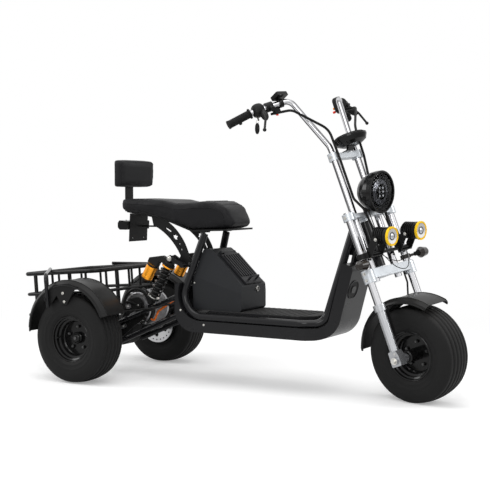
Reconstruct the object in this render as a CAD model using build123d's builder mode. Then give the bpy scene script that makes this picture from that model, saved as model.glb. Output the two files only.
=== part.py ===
from build123d import *
import os
from math import asin, cos, hypot, radians, sin, sqrt, tan

# Three-wheeled electric scooter, in millimetres.
# X runs forward, Y to the rider's left and Z up from the ground.
# Lengths forward are counted from the rear axle, which lies at axle_x.

# Wheels
tyre_r = 205.0
tyre_half = 80.0
tread_crown_r = 300.0
rim_r = 105.0
rim_half = 67.0
hub_plate_r = 74.0
hub_r = 27.0
hub_half = 88.0
axle_r = 10.0
axle_gap = 0.1
disc_r = 100.0
disc_thick = 4.0
wheelbase = 1527.0
half_track = 354.0

# Steering, measured along and across the steering axis
rake = 21.0
steer_rest = -13.7
leg_forward = 40.0
leg_side = 146.0
bar_tube_forward = 20.0
bar_tube_side = 80.0
leg_r = 19.0
stanchion_r = 16.5
bar_tube_r = 16.0
collar_r = 25.5
collar_u = 443.0
lower_clamp_u = 565.0
middle_clamp_u = 825.0
top_clamp_u = 1099.0
lower_clamp_high = 54.0
middle_clamp_high = 30.0
top_clamp_high = 34.0
lower_web = (-12.0, 27.0)
middle_web = (-9.0, 9.0)
top_web = (-12.0, 12.0)
clamp_gap = 8.0
head_tube_r = 27.0
stem_r = 15.0
stem_gap = 0.1

# Frame rails and floor
rail_r = 17.0
rail_half = 150.0
rail_z = 312.0
rail_rear_x = 402.0
rail_front_x = 1052.0
seat_post_x = 524.0
seat_post_z = 688.0
seat_post_half = 95.0
column_x = 1134.0
column_half = 96.0
neck_x = 1240.0
neck_z = 716.0
neck_half = 42.0
pan_deep = 70.0
pan_gap = 0.3
pan_rear_rise = 146.0
pan_front_rise = 268.0
skirt_corner_r = 100.0
board_rise = 20.0
mat_thick = 8.0
panel_wall = 4.0

# Battery box
box_half = 80.0
box_foot_half = 112.0
box_crease_x = 600.0
box_crease_z = 458.0
box_crease_pitch = 15.0
box_front_x = 728.0
box_shoulder_z = 457.0
box_brow_x = 586.0
box_brow_z = 593.0
box_top_z = 618.0
box_top_x = 514.0
box_rear_x = 474.0
lid_thick = 12.0
window_rim = 10.0
hinge_rise = 8.0
hinge_r = 6.0
hinge_pin_r = 2.5
lid_gap = 0.3

# Seat
seat_half = 146.0
seat_plate = 8.0
strap_thick = 8.0
pad_gap = 0.3

# Seat arms and shock absorbers
arm_side = 106.0
arm_thick = 6.0
cross_x = 436.0
cross_z = 542.0
shock_low = (252.0, 366.0)
shock_top = (370.0, 572.0)
shock_half = 134.0
shock_eye = 15.7
shock_clear = 18.5
reservoir_r = 27.0
reservoir_back = 77.0
reservoir_low = 82.0
reservoir_high = 158.0

# Basket
basket_rear_x = -423.0
basket_front_x = 20.0
basket_half = 250.0
basket_pitch = 4.5
basket_top_z = 474.0
basket_step = 100.0
basket_rail_r = 10.0
basket_bar_r = 6.0

# Rear fenders
fender_r = 240.0
fender_back = 10.0
fender_lift = 30.0
fender_half = 86.0
fender_wall = 3.0

front_reach = wheelbase + tyre_r + 8.5
rear_reach = basket_rail_r - basket_rear_x
axle_x = (rear_reach - front_reach) / 2

ground = Plane(origin=(axle_x, 0, 0))
side = Plane(origin=(axle_x, 0, 0), x_dir=(1, 0, 0), z_dir=(0, -1, 0))
across = Plane(origin=(axle_x, 0, 0), x_dir=(0, 1, 0), z_dir=(1, 0, 0))

# The steered frame leans back by the rake and is turned to the resting angle.
# Its x is forward, its y to the left and its z up along the steering axis.
camber = asin(sin(radians(steer_rest)) * sin(radians(rake)))
lean = radians(rake)
front_axle_z = (tyre_r - tread_crown_r) * cos(camber) + tread_crown_r
axle_forward = leg_forward + 3.0
turned_forward = axle_forward * cos(radians(steer_rest))
axle_u = (front_axle_z - turned_forward * sin(lean)) / cos(lean)
steer_foot = wheelbase - turned_forward * cos(lean) + axle_u * sin(lean)
turn = radians(steer_rest)
steer = Plane(
    origin=(axle_x + steer_foot, 0, 0),
    x_dir=(cos(turn) * cos(lean), sin(turn), cos(turn) * sin(lean)),
    z_dir=(-sin(lean), 0, cos(lean)),
)
steer_side = Plane(origin=steer.origin, x_dir=steer.x_dir, z_dir=-steer.y_dir)
steer_front = Plane(origin=steer.origin, x_dir=steer.y_dir, z_dir=steer.x_dir)
forward_axis = Plane(
    origin=steer.origin,
    x_dir=steer.y_dir,
    z_dir=steer.x_dir * cos(lean) - steer.z_dir * sin(lean),
)


def place(frame, point):
    return frame.from_local_coords(Vector(*point))


def rod(frame, start, end, radius, mode=Mode.ADD):
    # A round bar between two points.
    low = place(frame, start)
    run = place(frame, end) - low
    with BuildSketch(Plane(origin=low, z_dir=run)) as ring:
        Circle(radius)
    extrude(to_extrude=ring.sketch, amount=run.length, mode=mode)


def turned(frame, profile):
    # A turned solid: corners of (distance along the frame's z axis, radius).
    half_plane = Plane(origin=frame.origin, x_dir=frame.z_dir, z_dir=-frame.y_dir)
    with BuildSketch(half_plane) as face:
        with BuildLine():
            Polyline(*profile, close=True)
        make_face()
    revolve(profiles=face.sketch, axis=Axis(frame.origin, frame.z_dir))


def bent_rod(frame, points, bends, radius):
    # A bent tube: straight runs joined by tangent arcs.
    with BuildLine(frame) as route:
        FilletPolyline(*points, radius=bends)
    with BuildSketch(Plane(origin=route.line @ 0, z_dir=route.line % 0)) as ring:
        Circle(radius)
    sweep(sections=ring.sketch, path=route.line)


def slab(plane, points, half, bends=None, mode=Mode.ADD):
    # A closed outline given to both sides of a plane.
    with BuildSketch(plane) as outline:
        with BuildLine():
            if bends is None:
                Polyline(*points, close=True)
            else:
                FilletPolyline(*points, radius=bends, close=True)
        make_face()
    extrude(to_extrude=outline.sketch, amount=half, both=True, mode=mode)


def beside(points, distance):
    # Corners of the same open outline moved sideways to the right of its run.
    moved = []
    count = len(points)
    for i, (x, z) in enumerate(points):
        before = points[max(i - 1, 0)]
        here = points[min(i, count - 2)]
        after = points[min(i + 1, count - 1)]
        ax, az = (x - before[0], z - before[1]) if i > 0 else (after[0] - x, after[1] - z)
        bx, bz = (after[0] - x, after[1] - z) if i < count - 1 else (ax, az)
        al, bl = hypot(ax, az), hypot(bx, bz)
        nx, nz = az / al + bz / bl, -ax / al - bx / bl
        scale = 2 * distance / (nx * nx + nz * nz)
        moved.append((x + nx * scale, z + nz * scale))
    return moved


def keep(piece, name):
    piece.part.label = name
    export_step(piece.part, "parts/" + name + ".step")


os.makedirs("parts", exist_ok=True)

# Frame rails: seat post, rear bend, floor, toe and front column on each side
with BuildPart() as main_frame:
    for s in (-1, 1):
        bent_rod(
            ground,
            [
                (seat_post_x, s * seat_post_half, seat_post_z),
                (rail_rear_x, s * rail_half, rail_z),
                (rail_front_x, s * rail_half, rail_z),
                (column_x, s * column_half, rail_z),
                (neck_x, s * neck_half, neck_z),
            ],
            [105.0, 60.0, 62.0],
            rail_r,
        )
    rod(steer, (0, 0, lower_clamp_u + lower_clamp_high / 2 + clamp_gap),
        (0, 0, middle_clamp_u - middle_clamp_high / 2 - clamp_gap), head_tube_r)
    neck_low = rail_z + pan_front_rise + 28
    slab(side, [(neck_x - 32, neck_low), (neck_x + 2, neck_z + 10),
                (steer_foot - (neck_z + 10) * tan(lean), neck_z + 10),
                (steer_foot - neck_low * tan(lean), neck_low)], neck_half - 6)
    for x, z, half in ((neck_x - 26, neck_low + 12, 58.0), (rail_rear_x + 43, 440.0, 136.0),
                       (cross_x, cross_z, shock_half + shock_clear + 5)):
        rod(ground, (x, -half, z), (x, half, z), 11.0)
    for s in (-1, 1):
        rod(ground, (cross_x + 2, s * (arm_side + 4), cross_z), (cross_x + 42, s * (arm_side + 5), cross_z), 9.0)
        for y in (-shock_clear, shock_clear):
            slab(side.offset(-s * (shock_half + y)), [
                (shock_top[0] - 14, shock_top[1] - 4), (shock_top[0], shock_top[1] + 18),
                (cross_x + 4, cross_z + 9), (cross_x + 4, cross_z - 10)], 2.5, 6.0)
    with BuildSketch(steer) as head_bore:
        Circle(stem_r + stem_gap)
    extrude(to_extrude=head_bore.sketch, amount=top_clamp_u, mode=Mode.SUBTRACT)
keep(main_frame, "main_frame")

# Floor pan: a deep band under the rails, with a board between them
post_slope = (seat_post_x - rail_rear_x) / (seat_post_z - rail_z)
column_slope = (neck_x - column_x) / (neck_z - rail_z)
rail_line = [(rail_rear_x + post_slope * pan_rear_rise, rail_z + pan_rear_rise), (rail_rear_x, rail_z),
             (column_x, rail_z), (column_x + column_slope * pan_front_rise, rail_z + pan_front_rise)]
under = beside(rail_line, rail_r + pan_gap)
skirt_rear_x = rail_rear_x + 2.0
skirt_floor = rail_z - pan_deep
column_low = beside(rail_line, pan_deep)[2:]
board_half = rail_half - rail_r - 3
board_rear_x = rail_rear_x + 148
board_front_x = column_x - 44
board_line = [(board_rear_x, -board_half), (rail_front_x - 26, -board_half), (board_front_x, -column_half + 20),
              (board_front_x, column_half - 20), (rail_front_x - 26, board_half), (board_rear_x, board_half)]
with BuildPart() as deck_pan:
    with BuildSketch(side) as skirt:
        with BuildLine():
            upper = FilletPolyline(*under, radius=[100.0 + rail_r, 50.0])
            lower = FilletPolyline(
                under[0], (skirt_rear_x, under[0][1] - 6), (skirt_rear_x, skirt_floor),
                column_low[0], column_low[1], under[-1], radius=[8.0, skirt_corner_r, 118.0, 20.0])
        make_face()
    extrude(amount=rail_half + rail_r - 2, both=True)
    with BuildSketch(Plane(origin=(axle_x, 0, 0))) as plan:
        with BuildLine():
            FilletPolyline(
                (rail_rear_x - 60, -rail_half - 15), (rail_front_x + 16, -rail_half - 15),
                (column_x + 14, -column_half - 9), (column_x + 260, -column_half - 9),
                (column_x + 260, column_half + 9), (column_x + 14, column_half + 9),
                (rail_front_x + 16, rail_half + 15), (rail_rear_x - 60, rail_half + 15),
                radius=30.0, close=True)
        make_face()
    extrude(amount=neck_z, mode=Mode.INTERSECT)
    with BuildSketch(ground.offset(rail_z - rail_r - 6)) as outline:
        with BuildLine():
            FilletPolyline(*board_line, radius=24.0, close=True)
        make_face()
    extrude(to_extrude=outline.sketch, amount=rail_r + board_rise + 6)
keep(deck_pan, "deck_pan")

# Mat on the floor board
with BuildPart() as deck_mat:
    with BuildSketch(ground.offset(rail_z + board_rise)) as outline:
        with BuildLine():
            FilletPolyline(*[(x + (8 if x < rail_front_x - 200 else -8), y - (8 if y > 0 else -8))
                             for x, y in board_line], radius=20.0, close=True)
        make_face()
    extrude(amount=mat_thick)
    chamfer(deck_mat.faces().sort_by(Axis.Z)[-1].edges(), 3.0)
mat_top = rail_z + board_rise + mat_thick
keep(deck_mat, "deck_mat")

# Battery box: an open-fronted case, the pack inside and a ribbed lid on the slope
box_floor = mat_top + 0.3
box_outline = [(box_rear_x, box_floor), (box_front_x, box_floor), (box_front_x, box_shoulder_z),
               (box_brow_x, box_brow_z), (box_top_x + 40, box_top_z), (box_top_x, box_top_z - 2),
               (box_rear_x - 6, box_floor + 120)]
slope_x = (box_brow_x - box_front_x) / hypot(box_brow_x - box_front_x, box_brow_z - box_shoulder_z)
slope_z = (box_brow_z - box_shoulder_z) / hypot(box_brow_x - box_front_x, box_brow_z - box_shoulder_z)
slope_long = hypot(box_brow_x - box_front_x, box_brow_z - box_shoulder_z)
lid_plane = Plane(
    origin=(axle_x + box_front_x, 0, box_shoulder_z), x_dir=(slope_x, 0, slope_z), z_dir=(slope_z, 0, -slope_x))
lid_side = Plane(origin=lid_plane.origin, x_dir=lid_plane.x_dir, z_dir=-lid_plane.y_dir)


def box_body(outline, inset, bend):
    # A body with upright sides up to a sloping crease, and sides that lean in above it.
    with BuildPart() as body:
        slab(side, outline, box_foot_half - inset, bend)
        with BuildSketch(crease_plane) as section:
            with BuildLine():
                Polyline(*[(s * (half - inset), z) for s, half, z in (
                    (-1, box_foot_half, -300), (1, box_foot_half, -300), (1, box_foot_half, 0), (1, box_half + 4, 170),
                    (1, box_half + 4, 300), (-1, box_half + 4, 300), (-1, box_half + 4, 170),
                    (-1, box_foot_half, 0))], close=True)
            make_face()
        extrude(to_extrude=section.sketch, amount=400, both=True, mode=Mode.INTERSECT)
    return body.part


crease_slope = radians(box_crease_pitch)
crease_plane = Plane(origin=place(ground, (box_crease_x, 0, box_crease_z)), x_dir=(0, 1, 0),
                     z_dir=(cos(crease_slope), 0, -sin(crease_slope)))
box_inside = [(box_rear_x + 12, box_floor + panel_wall), (box_front_x - panel_wall, box_floor + panel_wall),
              (box_front_x - panel_wall, box_shoulder_z - 6), (box_brow_x - 6, box_brow_z - 8),
              (box_top_x + 40, box_top_z - panel_wall - 3), (box_top_x + 6, box_top_z - panel_wall - 8),
              (box_rear_x + 2, box_floor + 120)]
with BuildPart() as battery_box:
    add(box_body(box_outline, 0.0, 14.0))
    add(box_body(box_inside, panel_wall, 10.0), mode=Mode.SUBTRACT)
    slab(lid_side, [(window_rim, -20), (slope_long - window_rim, -20), (slope_long - window_rim, 20),
                    (window_rim, 20)], box_half - window_rim, None, Mode.SUBTRACT)
    for s in (-1, 1):
        rod(lid_plane, (slope_long + 3, s * 50, hinge_rise), (slope_long + 3, s * 62, hinge_rise), hinge_r)
        slab(lid_side.offset(-s * 56), [(slope_long - 4, hinge_rise), (slope_long + 10, hinge_rise),
                                       (slope_long + 12, -6), (slope_long - 4, -3)], 6.0)
    rod(lid_plane, (slope_long + 3, -55, hinge_rise), (slope_long + 3, 55, hinge_rise), hinge_pin_r)
keep(battery_box, "battery_box")

with BuildPart() as battery_pack:
    slab(side, [(box_rear_x + 30, box_floor + panel_wall), (box_front_x - 20, box_floor + panel_wall),
                (box_front_x - 20, box_shoulder_z - 30), (box_brow_x - 30, box_brow_z - 34),
                (box_rear_x + 50, box_brow_z - 34), (box_rear_x + 20, box_floor + 120)],
         box_half - panel_wall - 10, 8.0)
keep(battery_pack, "battery_pack")

with BuildPart() as battery_lid:
    slab(lid_side, [(3, lid_gap), (slope_long - 9, lid_gap), (slope_long - 9, lid_thick), (3, lid_thick)],
         box_half - 3, 4.0)
    with BuildSketch(lid_plane.offset(lid_thick - 1)):
        with Locations((slope_long / 2 + 14, 0)):
            with GridLocations(0, 20, 1, 7):
                SlotOverall(slope_long - 62, 9)
    extrude(amount=5)
    rod(lid_plane, (slope_long + 3, -47, hinge_rise), (slope_long + 3, 47, hinge_rise), hinge_r - 1)
    slab(lid_side, [(slope_long - 12, 3), (slope_long, hinge_rise - 4), (slope_long, hinge_rise + 4),
                    (slope_long - 12, lid_thick)], 46.0)
    bent_rod(lid_plane, [(22, -34, lid_thick - 2), (22, -34, lid_thick + 24), (22, 34, lid_thick + 24),
                         (22, 34, lid_thick - 2)], [9.0, 9.0], 4.5)
    rod(lid_plane, (slope_long + 3, -50, hinge_rise), (slope_long + 3, 50, hinge_rise), hinge_pin_r + 0.1,
        mode=Mode.SUBTRACT)
keep(battery_lid, "battery_lid")

# Seat: a bent plate on the two front posts, the cushion on it and the backrest
seat_under = [(100.0, 790.0), (269.0, 765.0), (348.0, 745.0), (467.0, 705.0), (655.0, 712.0)]
seat_over = [(680.0, 735.0), (634.0, 811.0), (581.0, 833.0), (531.0, 837.0), (393.0, 824.0),
             (314.0, 842.0), (80.0, 848.0), (57.0, 808.0)]
plate_top = beside(seat_under, pad_gap)
plate_low = beside(seat_under, pad_gap + seat_plate)
with BuildPart() as seat_base:
    slab(side, plate_top + plate_low[::-1], 116.0)
    for s in (-1, 1):
        rod(ground, (seat_post_x + 3, s * seat_post_half, seat_post_z + 6.0),
            (seat_post_x + 3, s * seat_post_half, seat_post_z + 15), rail_r + 5)
keep(seat_base, "seat_base")

with BuildPart() as seat_cushion:
    slab(side, seat_under + seat_over, seat_half,
         [12.0, 60.0, 60.0, 60.0, 14.0, 14.0, 30.0, 30.0, 40.0, 60.0, 60.0, 20.0, 14.0])
    with BuildSketch(ground.offset(600)) as plan:
        with BuildLine():
            FilletPolyline((57, -110), (90, -seat_half), (390, -seat_half + 4), (560, -118), (672, -82), (686, -40),
                           (686, 40), (672, 82), (560, 118), (390, seat_half - 4), (90, seat_half), (57, 110),
                           radius=24.0, close=True)
        make_face()
    extrude(amount=400, mode=Mode.INTERSECT)
keep(seat_cushion, "seat_cushion")


def under_plate(x, gap):
    # Height of a point a gap below the seat plate's rear run
    (x0, z0), (x1, z1) = plate_low[:2]
    return z0 + (x - x0) * (z1 - z0) / (x1 - x0) - gap


post_line = [(170.0, under_plate(170.0, 0.4)), (31.0, under_plate(31.0, 0.4)), (31.0, 1000.0)]
post_off = beside(post_line, -strap_thick)
with BuildPart() as backrest_pad:
    slab(side, [(31.3, 897), (80, 905), (86, 1030), (31.3, 1033)], 138.0, [8, 18, 18, 8])
    fillet(backrest_pad.faces().filter_by(Axis.Y).edges(), 12.0)
keep(backrest_pad, "backrest_pad")

# Laser-cut arms that carry the seat's rear, each with a star between slots
with BuildPart() as seat_arms:
    with BuildSketch(side.offset(arm_side)) as arm:
        with BuildLine():
            outer = ThreePointArc((330.0, 740.2), (404.0, 672.0), (cross_x + 20, cross_z + 11.3))
            end = Line(outer @ 1, (cross_x - 20, cross_z + 11.3))
            inner = ThreePointArc(end @ 1, (350.0, 655.0), (250.0, 722.0))
            rise = Line(inner @ 1, (240.0, under_plate(240.0, 0.4)))
            Polyline(rise @ 1, (266.0, under_plate(266.0, 0.4)), outer @ 0)
        make_face()
        with Locations((372.0, 668.0)):
            RegularPolygon(17, 3, rotation=20, mode=Mode.SUBTRACT)
            RegularPolygon(17, 3, rotation=80, mode=Mode.SUBTRACT)
        for x, z, turn in ((335.0, 702.0, -30), (402.0, 625.0, -64)):
            with Locations(Location((x, z, 0), (0, 0, turn))):
                SlotOverall(34, 7, mode=Mode.SUBTRACT)
    extrude(amount=arm_thick)
    mirror(about=Plane.XZ)
keep(seat_arms, "seat_arms")

# Brackets under the seat: the backrest's strap, and the plate bracket that carries the tail light
bracket_line = [(140.0, under_plate(140.0, strap_thick + 0.9)), (84.0, under_plate(84.0, strap_thick + 0.9)),
                (77.0, 640.0)]
with BuildPart() as seat_brackets:
    slab(side, post_line + post_off[::-1], 28.0)
    slab(side, bracket_line + beside(bracket_line, -4.0)[::-1], 72.0)
    with BuildSketch(across.offset(40)):
        with Locations((-45, 656), (45, 656)):
            Circle(3.5)
    extrude(amount=80, mode=Mode.SUBTRACT)
keep(seat_brackets, "seat_brackets")

with BuildPart() as tail_light:
    slab(side, [(81.2, 738), (36, 742), (26, 730), (26, 708), (36, 697), (79.3, 697)], 92.0,
         [4, 8, 10, 10, 8, 4])
keep(tail_light, "tail_light")

# The basket's frame, with its origin at the middle of the rear top rail, pitched up towards the front
pitch = radians(basket_pitch)
rack = Plane(origin=(axle_x + basket_rear_x, 0, basket_top_z), x_dir=(cos(pitch), 0, sin(pitch)),
             z_dir=(-sin(pitch), 0, cos(pitch)))
basket_long = (basket_front_x - basket_rear_x) / cos(pitch)
rack_arm = -2 * basket_step - basket_bar_r - 10.3

# Rear frame: mounting plate, lower arms, upper struts and the basket's supports
arm_half = 104.0
frame_r = 14.0
plate_x = skirt_rear_x - pan_gap
axle_tube_r = 28.0
with BuildPart() as rear_frame:
    slab(side, [(plate_x - 10, 346), (plate_x, 346), (plate_x, 446), (plate_x - 10, 446)], 124.0)
    for s in (-1, 1):
        slab(side.offset(-s * arm_half), [(plate_x - 4, 446), (plate_x - 34, 436), (plate_x - 44, 296),
                                         (plate_x - 20, 282), (plate_x - 4, 346)], 6.0)
        rod(ground, (plate_x - 26, s * arm_half, 304), (22, s * arm_half, 150), frame_r)
        bent_rod(ground, [(plate_x - 20, s * arm_half, 396), (shock_low[0], s * arm_half, 338),
                          (14, s * arm_half, 242)], [60.0], frame_r - 2)
        slab(side.offset(-s * arm_half), [(44, 150), (50, 256), (12, 302), (-46, 298), (-42, 170), (0, 136)], 7.0,
             [10, 10, 14, 14, 14, 14])
        rod(rack, (basket_long - 60, s * arm_half, rack_arm), (60, s * arm_half, rack_arm), frame_r - 4)
    rod(ground, (shock_low[0], -shock_half - 18, shock_low[1] - 23.3),
        (shock_low[0], shock_half + 18, shock_low[1] - 23.3), 10.0)
    with BuildSketch(side) as axle_hole:
        with Locations((0, tyre_r)):
            Circle(axle_tube_r + 0.3)
    extrude(to_extrude=axle_hole.sketch, amount=200, both=True, mode=Mode.SUBTRACT)
keep(rear_frame, "rear_frame")

motor_x = 132.0
motor_z = 322.0
motor_r = 78.0

# Rear axle: tube, differential case, end flanges and stub axles
tube_half = half_track - tyre_half - 16
with BuildPart() as rear_axle:
    with BuildSketch(across) as profile:
        with BuildLine():
            Polyline((0, tyre_r), (0, tyre_r + 74), (40, tyre_r + 74), (62, tyre_r + 50), (74, tyre_r + axle_tube_r),
                     (tube_half - 14, tyre_r + axle_tube_r), (tube_half - 14, tyre_r + 42),
                     (tube_half - 4, tyre_r + 42), (tube_half - 4, tyre_r + 22), (tube_half, tyre_r + 22),
                     (tube_half, tyre_r + axle_r), (half_track - 3, tyre_r + axle_r), (half_track - 3, tyre_r),
                     close=True)
        make_face()
    revolve(axis=Axis((axle_x, 0, tyre_r), (0, 1, 0)))
    mirror(about=Plane.XZ)
    slab(side.offset(85), [(-34, 170), (34, 170), (motor_x + 52, motor_z - 34), (motor_x + 30, motor_z + 60),
                           (motor_x - 50, motor_z + 40), (46, 262), (-34, 236)], 4.0, [24, 24, 40, 34, 34, 14, 14])
keep(rear_axle, "rear_axle")

with BuildPart() as motor:
    rod(ground, (motor_x, -78, motor_z), (motor_x, 78, motor_z), motor_r)
    fillet(motor.edges().filter_by(GeomType.CIRCLE), 8.0)
keep(motor, "motor")

# Shock absorbers: eyes, body, collars and a coil on each side
spring_r = 29.0
coil_count = 7
shock_run = hypot(shock_top[0] - shock_low[0], shock_top[1] - shock_low[1])
shock_x = (shock_top[0] - shock_low[0]) / shock_run
shock_z = (shock_top[1] - shock_low[1]) / shock_run


def along_shock(distance, s, back=0.0):
    return (shock_low[0] + shock_x * distance - shock_z * back, s * shock_half,
            shock_low[1] + shock_z * distance + shock_x * back)


spring_low = 26.0
spring_high = shock_run - 40.0
with BuildPart() as shock_bodies:
    for s in (-1, 1):
        for low, high, radius in ((6, spring_low - 8, 10), (spring_low - 8, spring_low, spring_r),
                                  (spring_low, spring_high, 15), (spring_high, spring_high + 8, spring_r),
                                  (spring_high + 8, shock_run - 18, 23),
                                  (shock_run - 18, shock_run - 6, 11)):
            rod(ground, along_shock(low, s), along_shock(high, s), radius)
        for point in (shock_low, shock_top):
            rod(ground, (point[0], s * (shock_half - shock_eye), point[1]),
                (point[0], s * (shock_half + shock_eye), point[1]), 13.0)
        slab(side.offset(-s * shock_half), [along_shock(*corner)[::2] for corner in (
            (reservoir_high + 0.3, s, 50), (reservoir_high + 0.3, s, 104), (reservoir_high + 22, s, 104),
            (shock_run - 16, s, 50), (shock_run - 12, s, 8), (shock_run - 38, s, 8), (shock_run - 46, s, 50))], 14.0)
keep(shock_bodies, "shock_bodies")

with BuildPart() as shock_springs:
    for s in (-1, 1):
        foot = Plane(origin=place(ground, along_shock(spring_low + 0.3, s)), x_dir=(0, 1, 0),
                     z_dir=(shock_x, 0, shock_z))
        coil_pitch = (spring_high - spring_low - 0.6) / coil_count
        coil_side = Plane(origin=foot.origin, x_dir=foot.x_dir, z_dir=-foot.y_dir)
        outline = [(16.0, 0.0)]
        for i in range(coil_count):
            low = i * coil_pitch
            outline += [(spring_r - 8, low), (spring_r, low + coil_pitch * 0.3), (spring_r, low + coil_pitch * 0.55),
                        (spring_r - 8, low + coil_pitch * 0.85)]
        outline += [(spring_r - 8, coil_count * coil_pitch), (16.0, coil_count * coil_pitch)]
        with BuildSketch(coil_side) as coil:
            with BuildLine():
                Polyline(*outline, close=True)
            make_face()
        revolve(profiles=coil.sketch, axis=Axis(foot.origin, foot.z_dir))
keep(shock_springs, "shock_springs")

with BuildPart() as shock_reservoirs:
    for s in (-1, 1):
        rod(ground, along_shock(reservoir_low, s, reservoir_back), along_shock(reservoir_high, s, reservoir_back),
            reservoir_r)
        rod(ground, along_shock(reservoir_low - 6, s, reservoir_back), along_shock(reservoir_low, s, reservoir_back),
            reservoir_r - 6)
keep(shock_reservoirs, "shock_reservoirs")

# Basket: rails in three tiers, upright bars and floor slats, pitched up towards the front
with BuildPart() as basket:
    for tier, radius in ((0, basket_rail_r), (1, basket_bar_r + 2), (2, basket_bar_r + 2)):
        level = rack.offset(-tier * basket_step)
        with BuildLine(level) as loop:
            FilletPolyline((0, basket_half), (basket_long, basket_half), (basket_long, -basket_half),
                           (0, -basket_half), radius=34.0, close=True)
        with BuildSketch(Plane(origin=loop.line @ 0, z_dir=loop.line % 0)) as ring:
            Circle(radius)
        sweep(sections=ring.sketch, path=loop.line)
    for x in (0.16, 0.39, 0.62, 0.85):
        for s in (-1, 1):
            rod(rack, (basket_long * x, s * basket_half, 0), (basket_long * x, s * basket_half, -2 * basket_step),
                basket_bar_r)
    for y in (-0.72, -0.36, 0.0, 0.36, 0.72):
        for x in (0, basket_long):
            rod(rack, (x, y * basket_half, 0), (x, y * basket_half, -2 * basket_step), basket_bar_r)
    for x in (0.2, 0.4, 0.6, 0.8):
        rod(rack, (basket_long * x, -basket_half, -2 * basket_step),
            (basket_long * x, basket_half, -2 * basket_step), basket_bar_r)
keep(basket, "basket")

# Rear fenders: a ribbed band bent over each wheel
fender_section = [(-fender_half, -24), (-fender_half + 6, -14), (-fender_half + 22, 0), (fender_half - 22, 0),
                  (fender_half - 6, -14), (fender_half, -24)]
with BuildPart() as rear_fenders:
    outer = [(half_track + y, tyre_r + fender_lift + fender_r + z) for y, z in fender_section]
    inner = [(half_track + y * (1 - fender_wall / fender_half), tyre_r + fender_lift + fender_r + z - fender_wall)
             for y, z in fender_section]
    with BuildSketch(across.offset(-fender_back)) as band:
        with BuildLine():
            Polyline(*outer, *inner[::-1], close=True)
        make_face()
    slab(side.offset(-half_track - fender_half + fender_wall / 2), [
        (-152, 398), (-104, 352), (-62, 404), (-36, 364), (-4, 364), (38, 428), (60, 450), (10, 462), (-80, 452)],
        fender_wall / 2)
    swing_axis = Axis((axle_x - fender_back, 0, tyre_r + fender_lift), (0, 1, 0))
    revolve(profiles=band.sketch, axis=swing_axis, revolution_arc=68.0)
    revolve(profiles=band.sketch, axis=Axis(swing_axis.position, (0, -1, 0)), revolution_arc=92.0)
    mirror(about=Plane.XZ)
keep(rear_fenders, "rear_fenders")

# Fender stays: a tube from each side of the basket's top rail, out over the tyre and down the fender's side
stay_r = 8.0
stay_out = half_track + fender_half + stay_r + 1.4
stay_x = 158.0
with BuildPart() as fender_stays:
    for s in (-1, 1):
        saddle = place(rack, (stay_x, s * (basket_half - 6), basket_rail_r + stay_r + 0.9)) - ground.origin
        bent_rod(ground, [tuple(saddle), (-122, s * (stay_out - 2), saddle.Z - 10),
                          (-106, s * stay_out, 346)], [30.0], stay_r)
        rod(ground, (-117, s * (stay_out - stay_r - 1.1), 384), (-117, s * (stay_out + stay_r + 2), 384), 6.0)
keep(fender_stays, "fender_stays")


pad_clear = 2.0


# Brake calipers: a block astride each disc, on a bracket from the axle or the fork leg
def caliper(frame, swing):
    # The frame's z axis runs from the wheel's centre out past the disc
    c, t = cos(radians(swing)), sin(radians(swing))
    radial = frame.x_dir * c + frame.y_dir * t
    cut = Plane(origin=frame.origin, x_dir=radial, z_dir=radial.cross(frame.z_dir))
    near, far = hub_half - disc_thick - pad_clear, hub_half + pad_clear
    slab(cut, [(66, near - 7), (disc_r + 12, near - 7), (disc_r + 12, far + 18), (58, far + 18), (58, far),
               (disc_r + 3, far), (disc_r + 3, near), (66, near)], 27.0)


with BuildPart() as rear_calipers:
    for s in (-1, 1):
        hub_frame = Plane(origin=place(ground, (0, s * half_track, tyre_r)), x_dir=(1, 0, 0), z_dir=(0, -s, 0))
        caliper(hub_frame, s * 50.0)
        slab(side.offset(-s * (half_track - hub_half - pad_clear - 14.7)), [
            (-20, tyre_r + 42), (10, tyre_r - 40), (44, tyre_r), (70, tyre_r + 54), (42, tyre_r + 84)], 2.5, 6.0)
        rod(ground, (0, s * (half_track - hub_half - pad_clear - 22), tyre_r),
            (0, s * (half_track - hub_half - pad_clear - 10), tyre_r), 42.4, Mode.SUBTRACT)
keep(rear_calipers, "rear_calipers")

# Fork: three clamps, chrome stanchions and bar tubes, alloy lower legs
with BuildPart() as fork_clamps:
    for level, high, (web_low, web_high), forward, half, boss in (
        (lower_clamp_u, lower_clamp_high, lower_web, leg_forward, leg_side, stanchion_r + 10),
        (middle_clamp_u, middle_clamp_high, middle_web, leg_forward, leg_side, stanchion_r + 9),
        (top_clamp_u, top_clamp_high, top_web, bar_tube_forward, bar_tube_side, bar_tube_r + 9),
    ):
        with BuildSketch(steer.offset(level - high / 2)) as bosses:
            with Locations((forward, -half), (forward, half)):
                Circle(boss)
        extrude(to_extrude=bosses.sketch, amount=high)
        with BuildSketch(steer.offset(level + web_low)) as web:
            with Locations((forward, 0)):
                Rectangle(2 * boss - 14, 2 * half)
            if level < top_clamp_u:
                Circle(stem_r + 14)
                with Locations((forward / 2, 0)):
                    Rectangle(forward, 60)
        extrude(to_extrude=web.sketch, amount=web_high - web_low)
    rod(steer, (0, 0, lower_clamp_u), (0, 0, middle_clamp_u), stem_r)
    chamfer(fork_clamps.faces().filter_by(GeomType.PLANE).sort_by(SortBy.AREA)[-6:].edges().filter_by(
        GeomType.CIRCLE), 2.0)
    with BuildSketch(steer.offset(collar_u)) as bores:
        with Locations((leg_forward, -leg_side), (leg_forward, leg_side)):
            Circle(stanchion_r + 0.2)
        with Locations((bar_tube_forward, -bar_tube_side), (bar_tube_forward, bar_tube_side)):
            Circle(bar_tube_r + 0.2)
    extrude(to_extrude=bores.sketch, amount=top_clamp_u, mode=Mode.SUBTRACT)
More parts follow.
